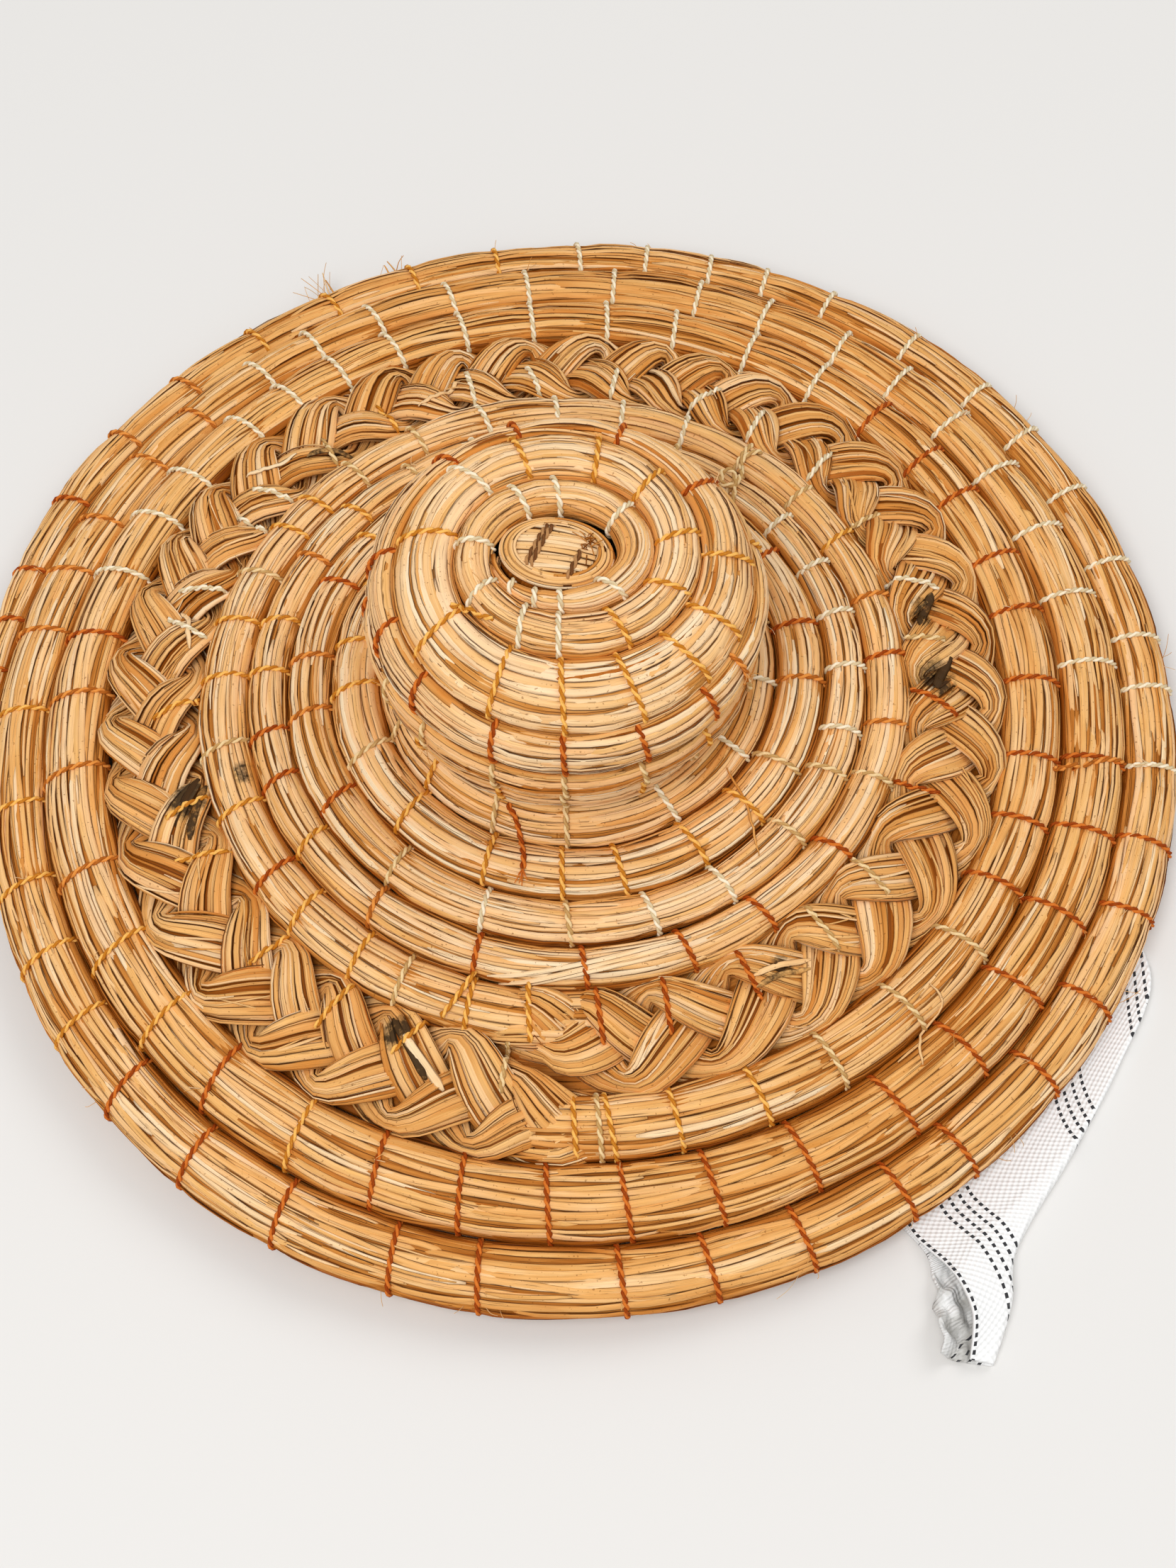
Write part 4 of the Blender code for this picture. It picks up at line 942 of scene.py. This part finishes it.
def woven_cotton():
    """Loosely woven off-white cotton: thick soft yarn over and under, with dashed black yarns along the hem."""
    made, tree, shader = new_material("woven_cotton")
    weave = node(tree, "Attribute", attribute_name="weave")
    place = node(tree, "SeparateXYZ", links={0: weave.outputs["Vector"]})
    # yarns: 1.1 mm apart both ways
    wave = [node(tree, "Math", {1: math.pi / 1.1}, {0: place.outputs[axis]}, operation="MULTIPLY") for axis in "XY"]
    wave = [node(tree, "Math", links={0: part.outputs[0]}, operation="SINE") for part in wave]
    over = node(tree, "Math", links={0: wave[0].outputs[0], 1: wave[1].outputs[0]}, operation="MULTIPLY")
    where = node(tree, "TexCoord")
    slub = node(tree, "TexNoise", {"Scale": 700.0, "Detail": 3.0}, {"Vector": where.outputs["Object"]})
    rise = node(tree, "Math", {1: 0.7}, {0: slub.outputs["Fac"], 2: over.outputs[0]}, operation="MULTIPLY_ADD")
    yarn = node(tree, "ValToRGB", links={0: node(tree, "MapRange", {1: -0.8, 2: 1.5}, {0: rise.outputs[0]}).outputs[0]},
                stops=((0.0, "F0F0EE"), (0.45, "FCFCFB"), (1.0, "FFFFFF")))
    # black yarns: lines 3 mm apart in groups, each line broken into 1.5 mm dashes
    black = None
    for start, lines in ((0.6, 1), (11.0, 4), (53.0, 4), (80.0, 4)):
        far = node(tree, "Math", {1: 1 / 3, 2: -start / 3}, {0: place.outputs["X"]}, operation="MULTIPLY_ADD")
        whole = node(tree, "Math", links={0: far.outputs[0]}, operation="ROUND")
        whole = node(tree, "Math", {1: lines - 1.0}, {0: whole.outputs[0]}, operation="MINIMUM")
        whole = node(tree, "Math", {1: 0.0}, {0: whole.outputs[0]}, operation="MAXIMUM")
        off = node(tree, "Math", links={0: far.outputs[0], 1: whole.outputs[0]}, operation="SUBTRACT")
        off = node(tree, "Math", links={0: off.outputs[0]}, operation="ABSOLUTE")
        on_line = node(tree, "Math", {1: 0.16}, {0: off.outputs[0]}, operation="LESS_THAN")
        step = node(tree, "Math", {1: 0.5}, {0: whole.outputs[0]}, operation="MULTIPLY")
        step = node(tree, "Math", {1: 1 / 2.7}, {0: place.outputs["Y"], 2: step.outputs[0]}, operation="MULTIPLY_ADD")
        step = node(tree, "Math", links={0: step.outputs[0]}, operation="FRACT")
        dash = node(tree, "Math", {1: 0.55}, {0: step.outputs[0]}, operation="LESS_THAN")
        dash = node(tree, "Math", links={0: dash.outputs[0], 1: on_line.outputs[0]}, operation="MULTIPLY")
        black = dash if black is None else node(
            tree, "Math", links={0: black.outputs[0], 1: dash.outputs[0]}, operation="MAXIMUM")
    # painted shade: the crumpled inside of the lower layer greyed in patches of 5 to 10 mm
    patch = node(tree, "TexNoise", {"Scale": 130.0, "Detail": 3.0}, {"Vector": where.outputs["Object"]})
    inside_shade = node(tree, "MapRange", {1: 0.35, 2: 0.6, 3: 0.2, 4: 0.75}, {0: patch.outputs["Fac"]})
    inside_shade = node(tree, "Math", links={0: inside_shade.outputs[0], 1: place.outputs["Z"]}, operation="MULTIPLY")
    yarn = node(tree, "Mix", {7: colour("A09C93")}, {0: inside_shade.outputs[0], 6: yarn.outputs["Color"]}, data_type="RGBA")
    dyed = node(tree, "Mix", {7: colour("2A2A2E")}, {0: black.outputs[0], 6: yarn.outputs[2]}, data_type="RGBA")
    tree.links.new(dyed.outputs[2], shader.inputs["Base Color"])
    bump = node(tree, "Bump", {"Strength": 0.55, "Distance": 0.0004}, {"Height": rise.outputs[0]})
    tree.links.new(bump.outputs[0], shader.inputs["Normal"])
    rough = node(tree, "MapRange", {1: -0.8, 2: 1.5, 3: 0.95, 4: 0.8}, {0: rise.outputs[0]})
    tree.links.new(rough.outputs[0], shader.inputs["Roughness"])
    shader.inputs["Sheen Weight"].default_value = 0.2
    return made


# The cotton cloth, folded over lengthwise: the hem on top, the fold on the right, the lower layer's edge below the hem
HEM = np.array(((82.6, -31.7, 15.5), (90, -60, 9.0), (88, -95, 6.0), (87, -128, 3.0), (90, -148, 2.6), (100, -162, 7.5),
                (105.5, -175, 8.6), (104.5, -187, 3.6)))
FOLD = np.array(((88.4, 1.7, 1.0), (122, -18, 1.6), (150, -45, 1.8), (164, -75, 2.2), (152.5, -103, 2.4), (136.5, -130, 2.2),
                 (119.5, -156, 2.4), (116.5, -172, 2.4), (110.5, -188, 1.2)))
UNDER = np.array(((82.6, -31.7, 12.0), (88, -62, 5.0), (84, -97, 1.0), (83, -127, 0.6), (87.5, -146, 0.6), (95.5, -158, 1.2),
                  (96.5, -172, 2.2), (97, -186, 1.2)))
LENGTHS, TOP_COLUMNS, FOLD_COLUMNS, LOW_COLUMNS = 120, 50, 9, 30


hem, fold, under = (smooth_line(keys, LENGTHS) for keys in (HEM, FOLD, UNDER))
rows, open_to_view = [], []
for h, f, u in zip(hem, fold, under):
    inward = unit(h[:2] - f[:2])
    radius = f[2]
    base_z = 0.5 + max(0.0, 12.5 * (1 - np.hypot(f[0] - 88.4, f[1] - 1.7) / 45)) if f[1] > -45 else 0.5
    top_start = f[:2] + inward * radius
    q = np.linspace(0, 1, TOP_COLUMNS)[:, None]
    top = np.hstack([h[:2] + (top_start - h[:2]) * q, h[2] + (base_z + 2 * radius - h[2]) * q])
    bend = np.linspace(90, -90, FOLD_COLUMNS + 2)[1:-1, None] * math.pi / 180
    edge = np.hstack([top_start - inward * radius * np.cos(bend), base_z + radius + radius * np.sin(bend)])
    q = np.linspace(0, 1, LOW_COLUMNS)[:, None]
    low = np.hstack([top_start + (u[:2] - top_start) * q, base_z + (u[2] - base_z) * q * q])
    rows.append(np.vstack([top, edge, low]))
    past_hem = q[:, 0] * np.linalg.norm(u[:2] - top_start) - np.linalg.norm(h[:2] - top_start)
    open_to_view.append(np.concatenate([np.zeros(TOP_COLUMNS + FOLD_COLUMNS), np.clip(past_hem / 4, 0, 1)]))
cloth = np.stack(rows)
columns = cloth.shape[1]
out_from = np.hypot(cloth[..., 0], cloth[..., 1])
cloth[..., :2] *= (np.maximum(out_from, BAND_CLEAR) / out_from)[..., None]
clear = np.interp(out_from, (100, 130, 150, 157, 178, 186, 196), (16, 12, 6, 1.7, 1.7, 4.2, 9.0))
is_top = np.arange(columns) < TOP_COLUMNS + FOLD_COLUMNS // 2
# slack near the outer end of the lower layer, where it crumples
slack = np.clip((np.arange(LENGTHS) - 84) / 16, 0, 1)[:, None] * np.clip((np.arange(columns) - TOP_COLUMNS - FOLD_COLUMNS) / 8, 0, 1)
puff = slack * np.stack(open_to_view)
for i in range(LENGTHS):
    for j in range(columns):
        x, y, z = cloth[i, j]
        ripple = noise.noise(Vector((x / 16, y / 16, 0.0 if is_top[j] else 7.0)))
        crumple = noise.noise(Vector((x / 4.5, y / 6, 3.0)))
        pucker = 4.0 * slack[i, j] * crumple + puff[i, j] * (2.4 + 4.5 * crumple)
        cloth[i, j, 2] = z + (0.9 * ripple if is_top[j] else 0.25 * ripple) + pucker
        cloth[i, j, 0] = x + 1.5 * puff[i, j] * noise.noise(Vector((x / 9, y / 5, 11.0)))
cap = np.where(is_top[None, :], clear, np.minimum(clear, 0.55 + 0.35 * clear + 4.5 * puff))
floor_of = np.where(is_top[None, :], 1.45, 0.5)
cloth[..., 2] = np.clip(cloth[..., 2], floor_of, np.maximum(cap, floor_of))
along = np.gradient(cloth, axis=0)
across = np.gradient(cloth, axis=1)
face = unit(np.cross(across, along))
hem_far = np.concatenate([np.zeros((LENGTHS, 1)), np.cumsum(np.linalg.norm(np.diff(cloth, axis=1), axis=2), axis=1)], 1)
ring_far = np.concatenate([[0], np.cumsum(np.linalg.norm(np.diff((hem + fold)[:, :2] / 2, axis=0), axis=1))])
half = 0.40 + 0.30 * np.exp(-(hem_far / 1.4) ** 2)
skins = [cloth + face * half[..., None], cloth - face * half[..., None]]
points = np.concatenate([skin.reshape(-1, 3) for skin in skins])
points[:, 2] = np.maximum(points[:, 2], 0.08)
i, j = np.arange(LENGTHS - 1)[:, None], np.arange(columns - 1)[None, :]
a = i * columns + j
front = np.stack([a, a + 1, a + columns + 1, a + columns], -1).reshape(-1, 4)
total = LENGTHS * columns
border = np.concatenate([np.arange(columns), np.arange(2, LENGTHS + 1) * columns - 1,
                         (LENGTHS - 1) * columns + np.arange(columns - 2, -1, -1), np.arange(LENGTHS - 2, 0, -1) * columns])
after = np.roll(border, -1)
walls = np.stack([after, border, border + total, after + total], 1)
quads = np.concatenate([front, front[:, ::-1] + total, walls])
# the third mark, the lower layer's slack near its end, masks the painted shade inside the open end
marks = np.stack([hem_far, np.broadcast_to(ring_far[:, None], hem_far.shape), slack], -1).reshape(-1, 3)
towel = make_piece("cotton_cloth", points * MM, quads, woven_cotton(), ("cloth_tie",), {"weave": np.tile(marks, (2, 1))})

slots = {"W": "thread_cream", "C": "thread_cream", "O": "thread_ochre", "G": "thread_ochre", "R": "thread_rust", "B": "thread_rust"}
stands = {"C": ("cone_thread",), "O": ("crown_thread",), "R": ("brim_thread",)}
for letter, tubes in threads.items():
    if tubes.size:
        tubes.piece("stitches_" + TWINES[letter].name.split("_")[0], TWINES[letter], slots[letter], *stands.get(letter, ()))

# Pale floor
floor_mesh = bpy.data.meshes.new("floor")
floor_mesh.from_pydata([(-4, -4, 0), (4, -4, 0), (4, 4, 0), (-4, 4, 0)], [], [(0, 1, 2, 3)])
floor = bpy.data.objects.new("floor", floor_mesh)
bpy.context.scene.collection.objects.link(floor)
paper, tree, shader = new_material("white_table")
shader.inputs["Base Color"].default_value = colour("E4E2DF")
shader.inputs["Roughness"].default_value = 0.8
floor_mesh.materials.append(paper)

# Camera, as the photograph was taken: from the front, about 62 degrees down
YAW, PITCH, ROLL = 0.0004, 1.08697, -0.0148
LENS_PIXELS, IMAGE_HIGH = 3999.9, 2212
ahead = np.array((math.sin(YAW) * math.cos(PITCH), math.cos(YAW) * math.cos(PITCH), -math.sin(PITCH)))
right = np.array((math.cos(YAW), -math.sin(YAW), 0.0))
above = np.cross(right, ahead)
rolled = right * math.cos(ROLL) + above * math.sin(ROLL)
above = above * math.cos(ROLL) - right * math.sin(ROLL)
camera = bpy.data.objects.new("camera", bpy.data.cameras.new("camera"))
bpy.context.scene.collection.objects.link(camera)
camera.data.lens = 36.0 * LENS_PIXELS / IMAGE_HIGH
camera.data.clip_start = 0.01
turn = Matrix((rolled, above, -ahead)).transposed().to_4x4()
camera.matrix_world = Matrix.Translation((0.00536, -0.40020, 0.74061)) @ turn
bpy.context.scene.camera = camera

# Plain soft light: an even sky and one large lamp high above the front, a little to the left
world = bpy.data.worlds.new("soft_room")
bpy.context.scene.world = world
world.use_nodes = True
sky = world.node_tree.nodes["Background"]
sky.inputs["Color"].default_value = (1.0, 1.0, 1.0, 1.0)
sky.inputs["Strength"].default_value = 0.50
lamp = bpy.data.lights.new("window", "AREA")
lamp.shape = "DISK"
lamp.size = 1.5
lamp.energy = 37.0
lit = bpy.data.objects.new("window", lamp)
bpy.context.scene.collection.objects.link(lit)
window_place = Vector((-0.55, -1.10, 2.25))
lit.matrix_world = Matrix.Translation(window_place) @ window_place.to_track_quat("Z", "Y").to_matrix().to_4x4()
fill = bpy.data.lights.new("side_window", "AREA")
fill.shape = "DISK"
fill.size = 1.5
fill.energy = 12.0
filled = bpy.data.objects.new("side_window", fill)
bpy.context.scene.collection.objects.link(filled)
side_place = Vector((1.30, 0.80, 1.90))
filled.matrix_world = Matrix.Translation(side_place) @ side_place.to_track_quat("Z", "Y").to_matrix().to_4x4()
bpy.context.scene.view_settings.view_transform = "Standard"
